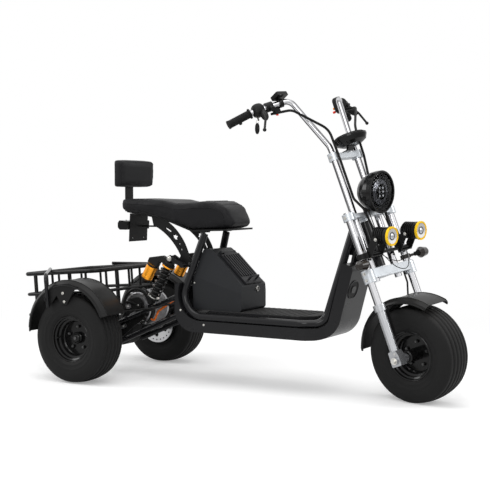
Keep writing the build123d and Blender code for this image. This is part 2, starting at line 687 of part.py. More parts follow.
keep(fork_clamps, "fork_clamps")

with BuildPart() as fork_tubes:
    for s in (-1, 1):
        rod(steer, (leg_forward, s * leg_side, collar_u + 0.3),
            (leg_forward, s * leg_side, middle_clamp_u + middle_clamp_high / 2 + 6), stanchion_r)
        rod(steer, (bar_tube_forward, s * bar_tube_side, lower_clamp_u - lower_clamp_high / 2),
            (bar_tube_forward, s * bar_tube_side, top_clamp_u - 0.3), bar_tube_r)
keep(fork_tubes, "fork_tubes")

lug_half = 21.0
axle_shoulder = hub_half + 3.0
with BuildPart() as fork_legs:
    for s in (-1, 1):
        rod(steer, (leg_forward, s * leg_side, axle_u + 10), (leg_forward, s * leg_side, collar_u - 28), leg_r)
        rod(steer, (leg_forward, s * leg_side, collar_u - 28), (leg_forward, s * leg_side, collar_u), collar_r)
        slab(steer_side.offset(-s * leg_side), [(leg_forward - 21, axle_u - 24), (leg_forward + 27, axle_u - 24),
                                               (leg_forward + 27, axle_u + 18), (leg_forward + 19, axle_u + 40),
                                               (leg_forward - 19, axle_u + 40)], lug_half, 6.0)
        rod(steer, (axle_forward, s * (leg_side + lug_half), axle_u),
            (axle_forward, s * (leg_side + lug_half + 9), axle_u), axle_r + 6)
        rod(steer, (axle_forward, s * axle_shoulder, axle_u), (axle_forward, s * leg_side, axle_u), axle_r + 7)
    rod(steer, (axle_forward, -leg_side, axle_u), (axle_forward, leg_side, axle_u), axle_r)
keep(fork_legs, "fork_legs")

# Handlebar: risers out of the top clamp, a bend, then each bar swept back to its grip
riser_u = top_clamp_u + 0.6
bar_r = 13.0
riser_knee = (18.0, 82.0, top_clamp_u + 51.0)
bar_bend = (-38.0, 167.0, top_clamp_u + 290.0)
grip_in = (-127.0, 318.0, top_clamp_u + 278.0)
grip_out = (-198.0, 412.0, top_clamp_u + 253.0)
bar_end = 0.93
grip_r = 16.5


def between(start, end, share, s=1):
    # A point part of the way along a run, on the left for 1 and the right for -1
    x, y, z = (a + (b - a) * share for a, b in zip(start, end))
    return (x, s * y, z)


def sided(point, s):
    return (point[0], s * point[1], point[2])


with BuildPart() as handlebar:
    for s in (-1, 1):
        bent_rod(steer, [
            (bar_tube_forward, s * bar_tube_side, riser_u), sided(riser_knee, s), sided(bar_bend, s),
            sided(grip_in, s), between(grip_in, grip_out, bar_end, s)], [70.0, 40.0, 60.0], bar_r)
keep(handlebar, "handlebar")

with BuildPart() as grips:
    for s in (-1, 1):
        for low, high, radius in ((0.1, 0.99, grip_r), (0.1, 0.14, grip_r + 6), (0.95, 1.0, grip_r + 2)):
            rod(steer, between(grip_in, grip_out, low, s), between(grip_in, grip_out, high, s), radius)
        rod(steer, between(grip_in, grip_out, 0.0, s), between(grip_in, grip_out, bar_end + 0.01, s), bar_r + 0.3,
            mode=Mode.SUBTRACT)
keep(grips, "grips")

# Controls: a clamp ring and housing inboard of each grip, the brake levers and their pivots
lever_end = (-64.0, 355.0, top_clamp_u + 174.0)
lever_bend = (-66.0, 322.0, top_clamp_u + 226.0)
lever_root = (-92.0, 306.0, top_clamp_u + 263.0)
throttle_root = (-60.0, 262.0, top_clamp_u + 263.0)
with BuildPart() as bar_controls:
    for s in (-1, 1):
        rod(steer, between(bar_bend, grip_in, 0.72, s), between(bar_bend, grip_in, 0.96, s), bar_r + 7)
        rod(steer, between(bar_bend, grip_in, 0.48, s), between(bar_bend, grip_in, 0.66, s), bar_r + 10 + 2 * s)
        rod(steer, between(bar_bend, grip_in, 0.86, s), sided(lever_root, s), 9.0)
        rod(steer, between(bar_bend, grip_in, 0.57, s), sided(throttle_root, s), 11.0)
    for s in (-1, 1):
        rod(steer, between(bar_bend, grip_in, 0.4, s), between(bar_bend, grip_in, 1.0, s), bar_r + 0.3,
            mode=Mode.SUBTRACT)
keep(bar_controls, "bar_controls")

with BuildPart() as brake_levers:
    for s in (-1, 1):
        base = between(bar_bend, grip_in, 0.86)
        bent_rod(steer, [between(base, lever_root, 1.01, s), between(base, lever_root, 1.6, s),
                         sided(lever_bend, s), between(lever_bend, lever_end, 0.95, s)],
                 [8.0, 26.0], 5.0)
        with Locations(place(steer, sided(lever_end, s))):
            Sphere(8.0)
keep(brake_levers, "brake_levers")

# Instruments: a round gauge in front of the top clamp and a screen on the right bar
gauge_f = 74.0
gauge_u = top_clamp_u + 29.0
gauge_r = 75.0
screen_at = between(bar_bend, grip_in, 0.3, -1)
with BuildPart() as instruments:
    with BuildSketch(steer_side) as profile:
        with BuildLine():
            Polyline((gauge_f, gauge_u), (gauge_f + 44, gauge_u), (gauge_f + 66, gauge_u + 12),
                     (gauge_f + gauge_r, gauge_u + 30), (gauge_f + gauge_r, gauge_u + 38),
                     (gauge_f + 66, gauge_u + 42), (gauge_f, gauge_u + 42), close=True)
        make_face()
    revolve(profiles=profile.sketch, axis=Axis(place(steer, (gauge_f, 0, 0)), steer.z_dir))
    web_top = top_clamp_u + top_web[1] + 0.3
    slab(steer_side, [(24, web_top), (24, web_top + 5), (50, web_top + 5), (60, gauge_u + 6),
                      (72, gauge_u + 6), (72, gauge_u - 2), (54, web_top)], 20.0)
    rod(steer, between(bar_bend, grip_in, 0.2, -1), between(bar_bend, grip_in, 0.3, -1), bar_r + 6)
    screen = Plane(origin=place(steer, (screen_at[0] + 12, screen_at[1] + 6, screen_at[2] + 30)),
                   x_dir=steer.y_dir, z_dir=steer.z_dir - steer.x_dir * 0.25)
    with BuildSketch(screen.offset(-8)) as case:
        RectangleRounded(68, 48, 7)
    extrude(to_extrude=case.sketch, amount=16)
    rod(steer, between(bar_bend, grip_in, 0.25, -1), (screen_at[0] + 12, screen_at[1] + 6, screen_at[2] + 26), 8.0)
    rod(steer, between(bar_bend, grip_in, 0.1, -1), between(bar_bend, grip_in, 0.4, -1), bar_r + 0.3,
        mode=Mode.SUBTRACT)
keep(instruments, "instruments")

# Headlight: a bowl on the middle clamp and its domed lens
lamp_f = 97.0
lamp_u = middle_clamp_u + 81.0
lamp_wall = 3.0
lamp_plane = Plane(origin=place(steer, (lamp_f, 0, lamp_u)), x_dir=forward_axis.z_dir, z_dir=-steer.y_dir)
bowl_back = -56.0
bowl_line = [(bowl_back, 34), (-52, 46), (-40, 60), (-20, 74), (4, 84), (26, 89), (42, 90)]
with BuildPart() as headlight_bowl:
    with BuildSketch(lamp_plane) as profile:
        with BuildLine():
            Polyline((bowl_back, 0), *bowl_line, (46, 88), (46, 82), (42, 82),
                     *[(t + lamp_wall, r - lamp_wall) for t, r in bowl_line[-2::-1]],
                     (bowl_back + lamp_wall, 0), close=True)
        make_face()
    revolve(profiles=profile.sketch, axis=Axis(lamp_plane.origin, lamp_plane.x_dir))
    middle_top = middle_clamp_u + middle_web[1] + 0.3
    slab(steer_side, [(26, middle_top), (60, middle_top), (60, lamp_u - 59), (46, lamp_u - 45),
                      (26, lamp_u - 52)], 16.0)
keep(headlight_bowl, "headlight_bowl")

lens_r = 81.7
lens_seat = 42.3
lens_dome = 11.7
lens_curve = (lens_r ** 2 + lens_dome ** 2) / (2 * lens_dome)
lens_mid = lens_seat + lens_dome - lens_curve + sqrt(lens_curve ** 2 - (lens_r / 2) ** 2)
with BuildPart() as headlight_lens:
    with BuildSketch(lamp_plane) as profile:
        with BuildLine():
            front = ThreePointArc((lens_seat, lens_r), (lens_mid, lens_r / 2), (lens_seat + lens_dome, 0))
            Polyline(front @ 1, (lens_seat, 0), (lens_seat - 3.7, lens_r), front @ 0)
        make_face()
    revolve(profiles=profile.sketch, axis=Axis(lamp_plane.origin, lamp_plane.x_dir))
keep(headlight_lens, "headlight_lens")

# Spot lamps on a bar between the stanchions, each held in a U bracket
lamp_bar_f = 78.0
lamp_bar_u = lower_clamp_u + 85.0
lamp_bar_r = 7.0
spot_f = 184.0
spot_u = lamp_bar_u + 39.0
spot_side = 105.0
spot_r = 40.0
spot_long = 88.0
bracket_half = 38.5
with BuildPart() as lamp_bar:
    rod(steer, (lamp_bar_f, -leg_side, lamp_bar_u), (lamp_bar_f, leg_side, lamp_bar_u), lamp_bar_r)
    for s in (-1, 1):
        with BuildSketch(steer.offset(lamp_bar_u - 12)) as band:
            with Locations((leg_forward, s * leg_side)):
                Circle(stanchion_r + 6)
            with Locations(((leg_forward + lamp_bar_f) / 2, s * leg_side)):
                Rectangle(lamp_bar_f - leg_forward, 14)
        extrude(to_extrude=band.sketch, amount=24)
        with BuildSketch(steer.offset(lamp_bar_u - 20)) as bore:
            with Locations((leg_forward, s * leg_side)):
                Circle(stanchion_r + 0.3)
        extrude(to_extrude=bore.sketch, amount=40, mode=Mode.SUBTRACT)
        for y in (-bracket_half, bracket_half):
            slab(steer_side.offset(-s * spot_side - y), [
                (lamp_bar_f - 8, lamp_bar_u - 10), (lamp_bar_f + 10, lamp_bar_u - 12), (142, spot_u + 1),
                (136, spot_u + 23), (120, spot_u + 23), (lamp_bar_f - 8, lamp_bar_u + 18)], 1.5, 5.0)
        slab(steer_side.offset(-s * spot_side), [
            (lamp_bar_f - 8, lamp_bar_u - 13), (lamp_bar_f + 10, lamp_bar_u - 15), (lamp_bar_f + 10, lamp_bar_u - 11),
            (lamp_bar_f - 8, lamp_bar_u - 9)], bracket_half + 1.5)
keep(lamp_bar, "lamp_bar")

with BuildPart() as spot_lights:
    for s in (-1, 1):
        lamp = Plane(origin=place(steer, (spot_f, s * spot_side, spot_u)), x_dir=steer.y_dir,
                     z_dir=forward_axis.z_dir)
        rod(lamp, (-bracket_half + 1.8, 0, -52), (bracket_half - 1.8, 0, -52), 6.0)
        for low, high, radius in ((-spot_long, -spot_long + 10, 20), (-spot_long + 10, -20, 31), (-20, -2, 37),
                                  (-2, 4, spot_r - 8.3)):
            rod(lamp, (0, 0, low), (0, 0, high), radius)
        for i in range(5):
            rod(lamp, (0, 0, -spot_long + 16 + i * 10), (0, 0, -spot_long + 20 + i * 10), 36.0)
keep(spot_lights, "spot_lights")

with BuildPart() as spot_rings:
    for s in (-1, 1):
        lamp = Plane(origin=place(steer, (spot_f, s * spot_side, spot_u)), z_dir=forward_axis.z_dir)
        rod(lamp, (0, 0, -1.7), (0, 0, 6), spot_r)
        rod(lamp, (0, 0, -4), (0, 0, 8), spot_r - 8, mode=Mode.SUBTRACT)
keep(spot_rings, "spot_rings")

# Turn signals: a clamp on each stanchion, a stalk and a tapered lamp
signal_u = lower_clamp_u + 47.0
signal_f = 82.0
with BuildPart() as turn_signals:
    for s in (-1, 1):
        with BuildSketch(steer.offset(signal_u - 9)) as band:
            with Locations((leg_forward, s * leg_side)):
                Circle(stanchion_r + 6)
        extrude(to_extrude=band.sketch, amount=18)
        rod(steer, (leg_forward + 12, s * (leg_side + 14), signal_u), (signal_f, s * 196, signal_u), 6.0)
        turned(Plane(origin=place(steer, (signal_f, s * 186, signal_u)), x_dir=steer.z_dir, z_dir=steer.y_dir * s),
               [(0, 0), (0, 14), (18, 24), (52, 19), (68, 9), (68, 0)])
        with BuildSketch(steer.offset(signal_u - 20)) as bore:
            with Locations((leg_forward, s * leg_side)):
                Circle(stanchion_r + 0.3)
        extrude(to_extrude=bore.sketch, amount=40, mode=Mode.SUBTRACT)
keep(turn_signals, "turn_signals")

# Front fender: the same band over the front wheel, with stays down to the fork legs
front_fender_r = 246.0
front_fender_half = 88.0
with BuildPart() as front_fender:
    edge = [(-front_fender_half, -22), (-front_fender_half + 5, -12), (-front_fender_half + 20, 0),
            (front_fender_half - 20, 0), (front_fender_half - 5, -12), (front_fender_half, -22)]
    top = axle_u + front_fender_r
    with BuildSketch(Plane(origin=place(steer, (axle_forward, 0, 0)), x_dir=steer.y_dir, z_dir=steer.x_dir)) as band:
        with BuildLine():
            Polyline(*[(y, top + z) for y, z in edge],
                     *[(y * (1 - fender_wall / front_fender_half), top + z - fender_wall) for y, z in edge[::-1]],
                     close=True)
        make_face()
    centre = place(steer, (axle_forward, 0, axle_u))
    revolve(profiles=band.sketch, axis=Axis(centre, steer.y_dir), revolution_arc=46.0)
    revolve(profiles=band.sketch, axis=Axis(centre, -steer.y_dir), revolution_arc=69.0)
    for s in (-1, 1):
        stay_y = leg_side - collar_r - 4
        slab(steer_side.offset(-s * stay_y), [(24, 300), (54, 300), (58, 429), (20, 429)], 2.0)
        slab(steer_side.offset(-s * (stay_y + 84) / 2), [(22, 423), (56, 423), (56, 429), (22, 429)],
             (stay_y - 84) / 2)
        for u in (312.0, 342.0):
            rod(steer, (leg_forward - 4, s * stay_y, u), (leg_forward - 4, s * (leg_side - leg_r - 0.1), u), 7.0)
keep(front_fender, "front_fender")


# Cables: a loom from each end of the bar down to the lamps, and the front brake's hose
with BuildPart() as control_cables:
    for s in (-1, 1):
        bent_rod(steer, [
            between(bar_bend, grip_in, 0.57, s)[:2] + (top_clamp_u + 251,), (0, s * 222, top_clamp_u + 231),
            (52, s * 92, top_clamp_u + 116), (52, s * 86, top_clamp_u - 14), (46, s * 78, lamp_u + 94),
            (46, s * 78, lamp_u - 6), (74, s * 72, lamp_u - 60), (78, s * 50, lamp_bar_u + 50),
            (78, s * 50, lamp_bar_u + lamp_bar_r)], [40.0, 70.0, 60.0, 60.0, 40.0, 30.0, 10.0], 5.5)
    bent_rod(steer, [(30, 112, lower_clamp_u + lower_web[0] - 0.3), (30, 112, lower_clamp_u - 60), (4, 110, 430),
                     (-6, 106, 350), (-28, 100, 300)], [30.0, 40.0, 60.0], 4.0)
keep(control_cables, "control_cables")

with BuildPart() as front_caliper:
    front_hub = Plane(origin=place(steer, (axle_forward, 0, axle_u)), x_dir=-steer.x_dir, z_dir=steer.y_dir)
    caliper(front_hub, 35.0)
    slab(steer_side.offset(-hub_half - pad_clear - 20.5), [
        (-56, 236), (-20, 262), (20, 302), (50, 306), (50, 258), (-20, 214)], 2.5, 6.0)
    for u in (270.0, 292.0):
        rod(steer, (leg_forward, hub_half + pad_clear + 18, u), (leg_forward, leg_side - leg_r - 0.1, u), 6.0)
keep(front_caliper, "front_caliper")

# Rear cables: brake hoses to both calipers, the tail light's lead and the motor's cable
with BuildPart() as rear_cables:
    for s in (-1, 1):
        bent_rod(ground, [(plate_x - 10.3, s * 119, 360), (340, s * 122, 356), (290, s * 176, 340),
                          (150, s * 190, 318), (64, s * 250, 316)], [20.0, 40.0, 60.0], 4.0)
    bent_rod(ground, [(85, 30, 712), (210, 30, 712), (330, 24, 600), (420, 20, 512),
                      (box_rear_x + 7.5, 20, 512)], [40.0, 60.0, 30.0], 4.0)
keep(rear_cables, "rear_cables")

with BuildPart() as motor_cable:
    bent_rod(ground, [(plate_x - 10.3, -60, 384), (350, -60, 384), (240, -60, 311.5), (motor_x + 82, -60, motor_z - 60),
                      (motor_x + 63.2, -60, motor_z - 46.2)], [20.0, 30.0, 12.0], 5.0)
keep(motor_cable, "motor_cable")

# Wheels: a crowned tyre, a deep stepped rim on its hub, and a drilled brake disc inboard
shoulder_half = 68.0
shoulder_r = tyre_r - tread_crown_r + sqrt(tread_crown_r ** 2 - shoulder_half ** 2)
bead_r = rim_r - 6
disc_far = hub_half - disc_thick
front_centre = place(steer, (axle_forward, 0, axle_u))
for name, centre, outward, cap in (
    ("front", front_centre, -steer.y_dir, hub_half),
    ("rear_right", place(ground, (0, -half_track, tyre_r)), Vector(0, -1, 0), 22.0),
    ("rear_left", place(ground, (0, half_track, tyre_r)), Vector(0, 1, 0), 22.0),
):
    frame = Plane(origin=centre, x_dir=(0, 0, 1), z_dir=outward)
    half_plane = Plane(origin=frame.origin, x_dir=frame.z_dir, z_dir=-frame.y_dir)
    with BuildPart() as tyre:
        with BuildSketch(half_plane) as face:
            with BuildLine():
                Polyline((-rim_half, rim_r + 1.5), (-rim_half + 4.3, rim_r + 0.5), (-rim_half + 4.3, bead_r + 0.3),
                         (rim_half - 4.3, bead_r + 0.3), (rim_half - 4.3, rim_r + 0.5), (rim_half, rim_r + 1.5))
                ThreePointArc((rim_half, rim_r + 1.5), (tyre_half, 158.0), (shoulder_half, shoulder_r))
                ThreePointArc((shoulder_half, shoulder_r), (0, tyre_r), (-shoulder_half, shoulder_r))
                ThreePointArc((-shoulder_half, shoulder_r), (-tyre_half, 158.0), (-rim_half, rim_r + 1.5))
            make_face()
        revolve(profiles=face.sketch, axis=Axis(frame.origin, frame.z_dir))
    keep(tyre, name + "_tyre")

    with BuildPart() as rim:
        turned(frame, [
            (rim_half, rim_r), (rim_half - 4, rim_r), (rim_half - 4, bead_r), (-rim_half + 4, bead_r),
            (-rim_half + 4, rim_r), (-rim_half, rim_r), (-rim_half, 94), (-30, 94), (-24, 82), (-4, 80), (-4, hub_r),
            (-hub_half, hub_r), (-hub_half, 0), (cap, 0), (cap, hub_r - 4), (cap - 4, hub_r), (4, hub_r),
            (4, hub_plate_r), (12, hub_plate_r + 2), (16, 80), (34, 82), (38, 91), (52, 92), (56, 98), (rim_half, 99)])
        rod(frame, (0, 0, -disc_far + 10), (0, 0, -disc_far), 44.0)
        bore_far = hub_half if cap == hub_half else 6.0
        rod(frame, (0, 0, -hub_half), (0, 0, bore_far), axle_r + axle_gap, mode=Mode.SUBTRACT)
        with BuildSketch(frame.offset(4)):
            with PolarLocations(52, 5):
                Circle(7)
        extrude(amount=5)
    keep(rim, name + "_rim")

    with BuildPart() as disc:
        with BuildSketch(frame.offset(-hub_half)):
            Circle(disc_r)
            Circle(hub_r + 0.3, mode=Mode.SUBTRACT)
            with PolarLocations(86, 24):
                Circle(4, mode=Mode.SUBTRACT)
            with PolarLocations(60, 6):
                Circle(11, mode=Mode.SUBTRACT)
        extrude(amount=disc_thick - 0.3)
    keep(disc, name + "_disc")
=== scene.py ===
import math

import bmesh
import bpy
from mathutils import Matrix, Vector
from mathutils.bvhtree import BVHTree


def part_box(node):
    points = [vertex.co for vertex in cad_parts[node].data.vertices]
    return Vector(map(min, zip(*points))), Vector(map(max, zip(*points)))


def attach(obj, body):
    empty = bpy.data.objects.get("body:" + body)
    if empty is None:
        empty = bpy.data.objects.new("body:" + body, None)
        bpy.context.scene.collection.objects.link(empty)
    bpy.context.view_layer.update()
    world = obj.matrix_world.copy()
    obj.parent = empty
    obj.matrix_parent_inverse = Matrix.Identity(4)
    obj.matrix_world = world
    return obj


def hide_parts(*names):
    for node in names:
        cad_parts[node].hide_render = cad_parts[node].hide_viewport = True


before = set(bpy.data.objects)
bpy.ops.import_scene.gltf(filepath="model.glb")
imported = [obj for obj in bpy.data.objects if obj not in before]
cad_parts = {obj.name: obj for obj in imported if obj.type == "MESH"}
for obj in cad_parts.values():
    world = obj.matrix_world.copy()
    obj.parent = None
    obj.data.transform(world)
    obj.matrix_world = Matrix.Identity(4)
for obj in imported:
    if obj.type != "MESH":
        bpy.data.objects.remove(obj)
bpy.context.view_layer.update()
print("frame loaded:", len(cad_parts), "nodes")

# places that the pieces share, in millimetres as the solids have them
shared = dict(axleX=-653.75, tyreR=205.0, crownR=300.0, wheelBase=1527.0, halfTrack=354.0,
              rake=21.0, steerRest=-13.7, axleForward=43.0)


def mm(x, y, z):  # a point counted from the rear axle
    return Vector(((x + shared["axleX"]) / 1000, y / 1000, z / 1000))


lean = math.radians(shared["rake"])
turn = math.radians(shared["steerRest"])
camber = math.asin(math.sin(turn) * math.sin(lean))
frontAxleZ = (shared["tyreR"] - shared["crownR"]) * math.cos(camber) + shared["crownR"]
turnedForward = shared["axleForward"] * math.cos(turn)
axleUp = (frontAxleZ - turnedForward * math.sin(lean)) / math.cos(lean)
steerFoot = mm(shared["wheelBase"] - turnedForward * math.cos(lean) + axleUp * math.sin(lean), 0, 0)
steerUp = Vector((-math.sin(lean), 0, math.cos(lean)))
steerForward = Vector((math.cos(turn) * math.cos(lean), math.sin(turn), math.cos(turn) * math.sin(lean)))
steerLeft = steerUp.cross(steerForward)


def fork(f, l, u):  # forward, left and up along the turned fork
    return steerFoot + (steerForward * f + steerLeft * l + steerUp * u) / 1000


lampAxis = steerForward * math.cos(lean) - steerUp * math.sin(lean)

# camera, at the photograph's viewing angle
view = dict(place=(2.4473, -4.1411, 0.8843), target=(0.0278, 0.0, 0.6357), lens=77.1)
camData = bpy.data.cameras.new("camera")
camData.lens = view["lens"]
camData.sensor_width = 36
camData.clip_end = 200
camera = bpy.data.objects.new("camera", camData)
bpy.context.scene.collection.objects.link(camera)
camera.location = view["place"]
camera.rotation_euler = (Vector(view["target"]) - Vector(view["place"])).to_track_quat("-Z", "Y").to_euler()
bpy.context.scene.camera = camera
bpy.context.scene.view_settings.view_transform = "Standard"

# studio
studio = dict(worldLight=0.5, paleColor=0.86, lamps=(
    # name, place, aim, size, power
    ("overhead", (0.3, -0.6, 3.4), (0.1, 0, 0.4), 3.2, 62),
    ("nearSide", (1.6, -3.4, 2.4), (0.1, 0, 0.5), 1.6, 34),
    ("frontEdge", (3.4, 0.9, 1.7), (0.5, 0, 0.6), 1.3, 24),
    ("rearEdge", (-3.0, -1.2, 2.0), (-0.4, 0, 0.5), 1.3, 26)))


def newNodes(tree):
    tree.nodes.clear()
    return tree.nodes, tree.links


def addNode(nodes, kind, values=None, **settings):  # settings come first: some of them change the inputs
    node = nodes.new(kind)
    for name, value in settings.items():
        setattr(node, name, value)
    for name, value in (values or {}).items():
        node.inputs[name].default_value = value
    return node


def wire(links, *rows):  # each row: from node, its output, to node, its input
    for source, outName, sink, inName in rows:
        links.new(source.outputs[outName], sink.inputs[inName])


world = bpy.data.worlds.new("studio")
bpy.context.scene.world = world
world.use_nodes = True
nodes, links = newNodes(world.node_tree)
ray = addNode(nodes, "ShaderNodeLightPath")
seen = addNode(nodes, "ShaderNodeMath", operation="MAXIMUM")
seenAll = addNode(nodes, "ShaderNodeMath", operation="MAXIMUM")
back = addNode(nodes, "ShaderNodeBackground", {"Color": (1, 1, 1, 1)})
level = addNode(nodes, "ShaderNodeMapRange", {"To Min": studio["worldLight"], "To Max": 1.0})
out = addNode(nodes, "ShaderNodeOutputWorld")
wire(links, (ray, "Is Camera Ray", seen, 0), (ray, "Is Glossy Ray", seen, 1), (seen, 0, seenAll, 0),
     (ray, "Is Transmission Ray", seenAll, 1), (seenAll, 0, level, "Value"), (level, 0, back, "Strength"),
     (back, 0, out, "Surface"))

for name, place, aim, size, power in studio["lamps"]:
    lampData = bpy.data.lights.new(name, "AREA")
    lampData.size = size
    lampData.energy = power
    lamp = bpy.data.objects.new(name, lampData)
    lamp.location = place
    lamp.rotation_euler = (Vector(aim) - Vector(place)).to_track_quat("-Z", "Y").to_euler()
    bpy.context.scene.collection.objects.link(lamp)

floorMesh = bpy.data.meshes.new("floor")
floorMesh.from_pydata([(-40, -40, 0), (40, -40, 0), (40, 60, 0), (-40, 60, 0)], [], [(0, 1, 2, 3)])
floor = bpy.data.objects.new("floor", floorMesh)
bpy.context.scene.collection.objects.link(floor)
floorLook = bpy.data.materials.new("paleFloor")
floorLook.use_nodes = True
nodes, links = newNodes(floorLook.node_tree)
ray = addNode(nodes, "ShaderNodeLightPath")
coord = addNode(nodes, "ShaderNodeTexCoord")
reach = addNode(nodes, "ShaderNodeVectorMath", operation="LENGTH")
near = addNode(nodes, "ShaderNodeMapRange", {"From Min": 1.1, "From Max": 3.2},
    interpolation_type="SMOOTHSTEP")
toWhite = addNode(nodes, "ShaderNodeMath", operation="MULTIPLY")
pale = addNode(nodes, "ShaderNodeBsdfDiffuse", {"Color": [studio["paleColor"]] * 3 + [1]})
lift = addNode(nodes, "ShaderNodeEmission", {"Color": (0.3, 0.3, 0.3, 1)})
joined = addNode(nodes, "ShaderNodeAddShader")
white = addNode(nodes, "ShaderNodeEmission")
pick = addNode(nodes, "ShaderNodeMixShader")
out = addNode(nodes, "ShaderNodeOutputMaterial")
wire(links, (coord, "Object", reach, 0), (reach, "Value", near, "Value"), (near, 0, toWhite, 0),
     (ray, "Is Camera Ray", toWhite, 1), (ray, "Is Camera Ray", lift, "Strength"), (pale, 0, joined, 0),
     (lift, 0, joined, 1), (toWhite, 0, pick, "Fac"), (joined, 0, pick, 1), (white, 0, pick, 2),
     (pick, 0, out, "Surface"))
floorMesh.materials.append(floorLook)
print("studio and camera set")


# shared effects: each is one node group with named inputs and outputs
def effectGroup(name, inputs, outputs):
    group = bpy.data.node_groups.new(name, "ShaderNodeTree")
    for socketName, kind, value in inputs:
        socket = group.interface.new_socket(socketName, in_out="INPUT", socket_type=kind)
        if value is not None:
            socket.default_value = value
    for socketName, kind in outputs:
        group.interface.new_socket(socketName, in_out="OUTPUT", socket_type=kind)
    groupIn = group.nodes.new("NodeGroupInput")
    groupOut = group.nodes.new("NodeGroupOutput")
    return group, groupIn, groupOut


floatKind, colorKind = "NodeSocketFloat", "NodeSocketColor"
mottle, mottleIn, mottleOut = effectGroup(
    "mottle", [("Color", colorKind, (0.5, 0.5, 0.5, 1)), ("Scale", floatKind, 6.0), ("Spread", floatKind,
        0.2),
               ("Rough", floatKind, 0.4), ("Rough Spread", floatKind, 0.2)],
    [("Color", colorKind), ("Roughness", floatKind)])
n, l = mottle.nodes, mottle.links
spot = addNode(n, "ShaderNodeTexCoord")
cloud = addNode(n, "ShaderNodeTexNoise", {"Detail": 5})
centred = addNode(n, "ShaderNodeMath", {1: 0.5}, operation="SUBTRACT")
shade = addNode(n, "ShaderNodeMath", operation="MULTIPLY")
bright = addNode(n, "ShaderNodeMath", {1: 1.0}, operation="ADD")
scaleColor = addNode(n, "ShaderNodeVectorMath", operation="SCALE")
roughSwing = addNode(n, "ShaderNodeMath", operation="MULTIPLY_ADD")
wire(l, (spot, "Object", cloud, "Vector"), (mottleIn, "Scale", cloud, "Scale"), (cloud, "Fac", centred, 0),
     (centred, 0, shade, 0), (mottleIn, "Spread", shade, 1), (shade, 0, bright, 0),
     (mottleIn, "Color", scaleColor, 0), (bright, 0, scaleColor, "Scale"), (centred, 0, roughSwing, 0),
     (mottleIn, "Rough Spread", roughSwing, 1), (mottleIn, "Rough", roughSwing, 2),
     (scaleColor, 0, mottleOut, "Color"), (roughSwing, 0, mottleOut, "Roughness"))

grain, grainIn, grainOut = effectGroup(
    "fineGrain", [("Scale", floatKind, 400.0), ("Pebble", floatKind, 0.0)], [("Height", floatKind)])
n, l = grain.nodes, grain.links
spot = addNode(n, "ShaderNodeTexCoord")
fine = addNode(n, "ShaderNodeTexNoise", {"Detail": 3})
pebble = addNode(n, "ShaderNodeTexVoronoi", feature="SMOOTH_F1")
blend = addNode(n, "ShaderNodeMix")
wire(l, (spot, "Object", fine, "Vector"), (spot, "Object", pebble, "Vector"),
     (grainIn, "Scale", fine, "Scale"), (grainIn, "Scale", pebble, "Scale"),
     (grainIn, "Pebble", blend, "Factor"), (fine, "Fac", blend, "A"), (pebble, "Distance", blend, "B"),
     (blend, "Result", grainOut, "Height"))

dust, dustIn, dustOut = effectGroup(
    "settledDust", [("Color", colorKind, (0.02, 0.02, 0.02, 1)), ("Amount", floatKind, 0.1)],
    [("Color", colorKind)])
n, l = dust.nodes, dust.links
facing = addNode(n, "ShaderNodeNewGeometry")
apart = addNode(n, "ShaderNodeSeparateXYZ")
spot = addNode(n, "ShaderNodeTexCoord")
patch = addNode(n, "ShaderNodeTexNoise", {"Scale": 24, "Detail": 6})
lying = addNode(n, "ShaderNodeMapRange", {"From Min": 0.3})
amount = addNode(n, "ShaderNodeMath", operation="MULTIPLY")
patched = addNode(n, "ShaderNodeMath", operation="MULTIPLY")
dusted = addNode(n, "ShaderNodeMix", {"B": (0.28, 0.27, 0.25, 1)}, data_type="RGBA")
wire(l, (facing, "Normal", apart, 0), (apart, "Z", lying, "Value"), (spot, "Object", patch, "Vector"),
     (lying, 0, patched, 0), (patch, "Fac", patched, 1), (patched, 0, amount, 0),
     (dustIn, "Amount", amount, 1), (amount, 0, dusted, "Factor"), (dustIn, "Color", dusted, "A"),
     (dusted, "Result", dustOut, "Color"))


def addGroup(tree, group, **values):
    node = tree.nodes.new("ShaderNodeGroup")
    node.node_tree = group
    for socketName, value in values.items():
        node.inputs[socketName.replace("_", " ")].default_value = value
    return node


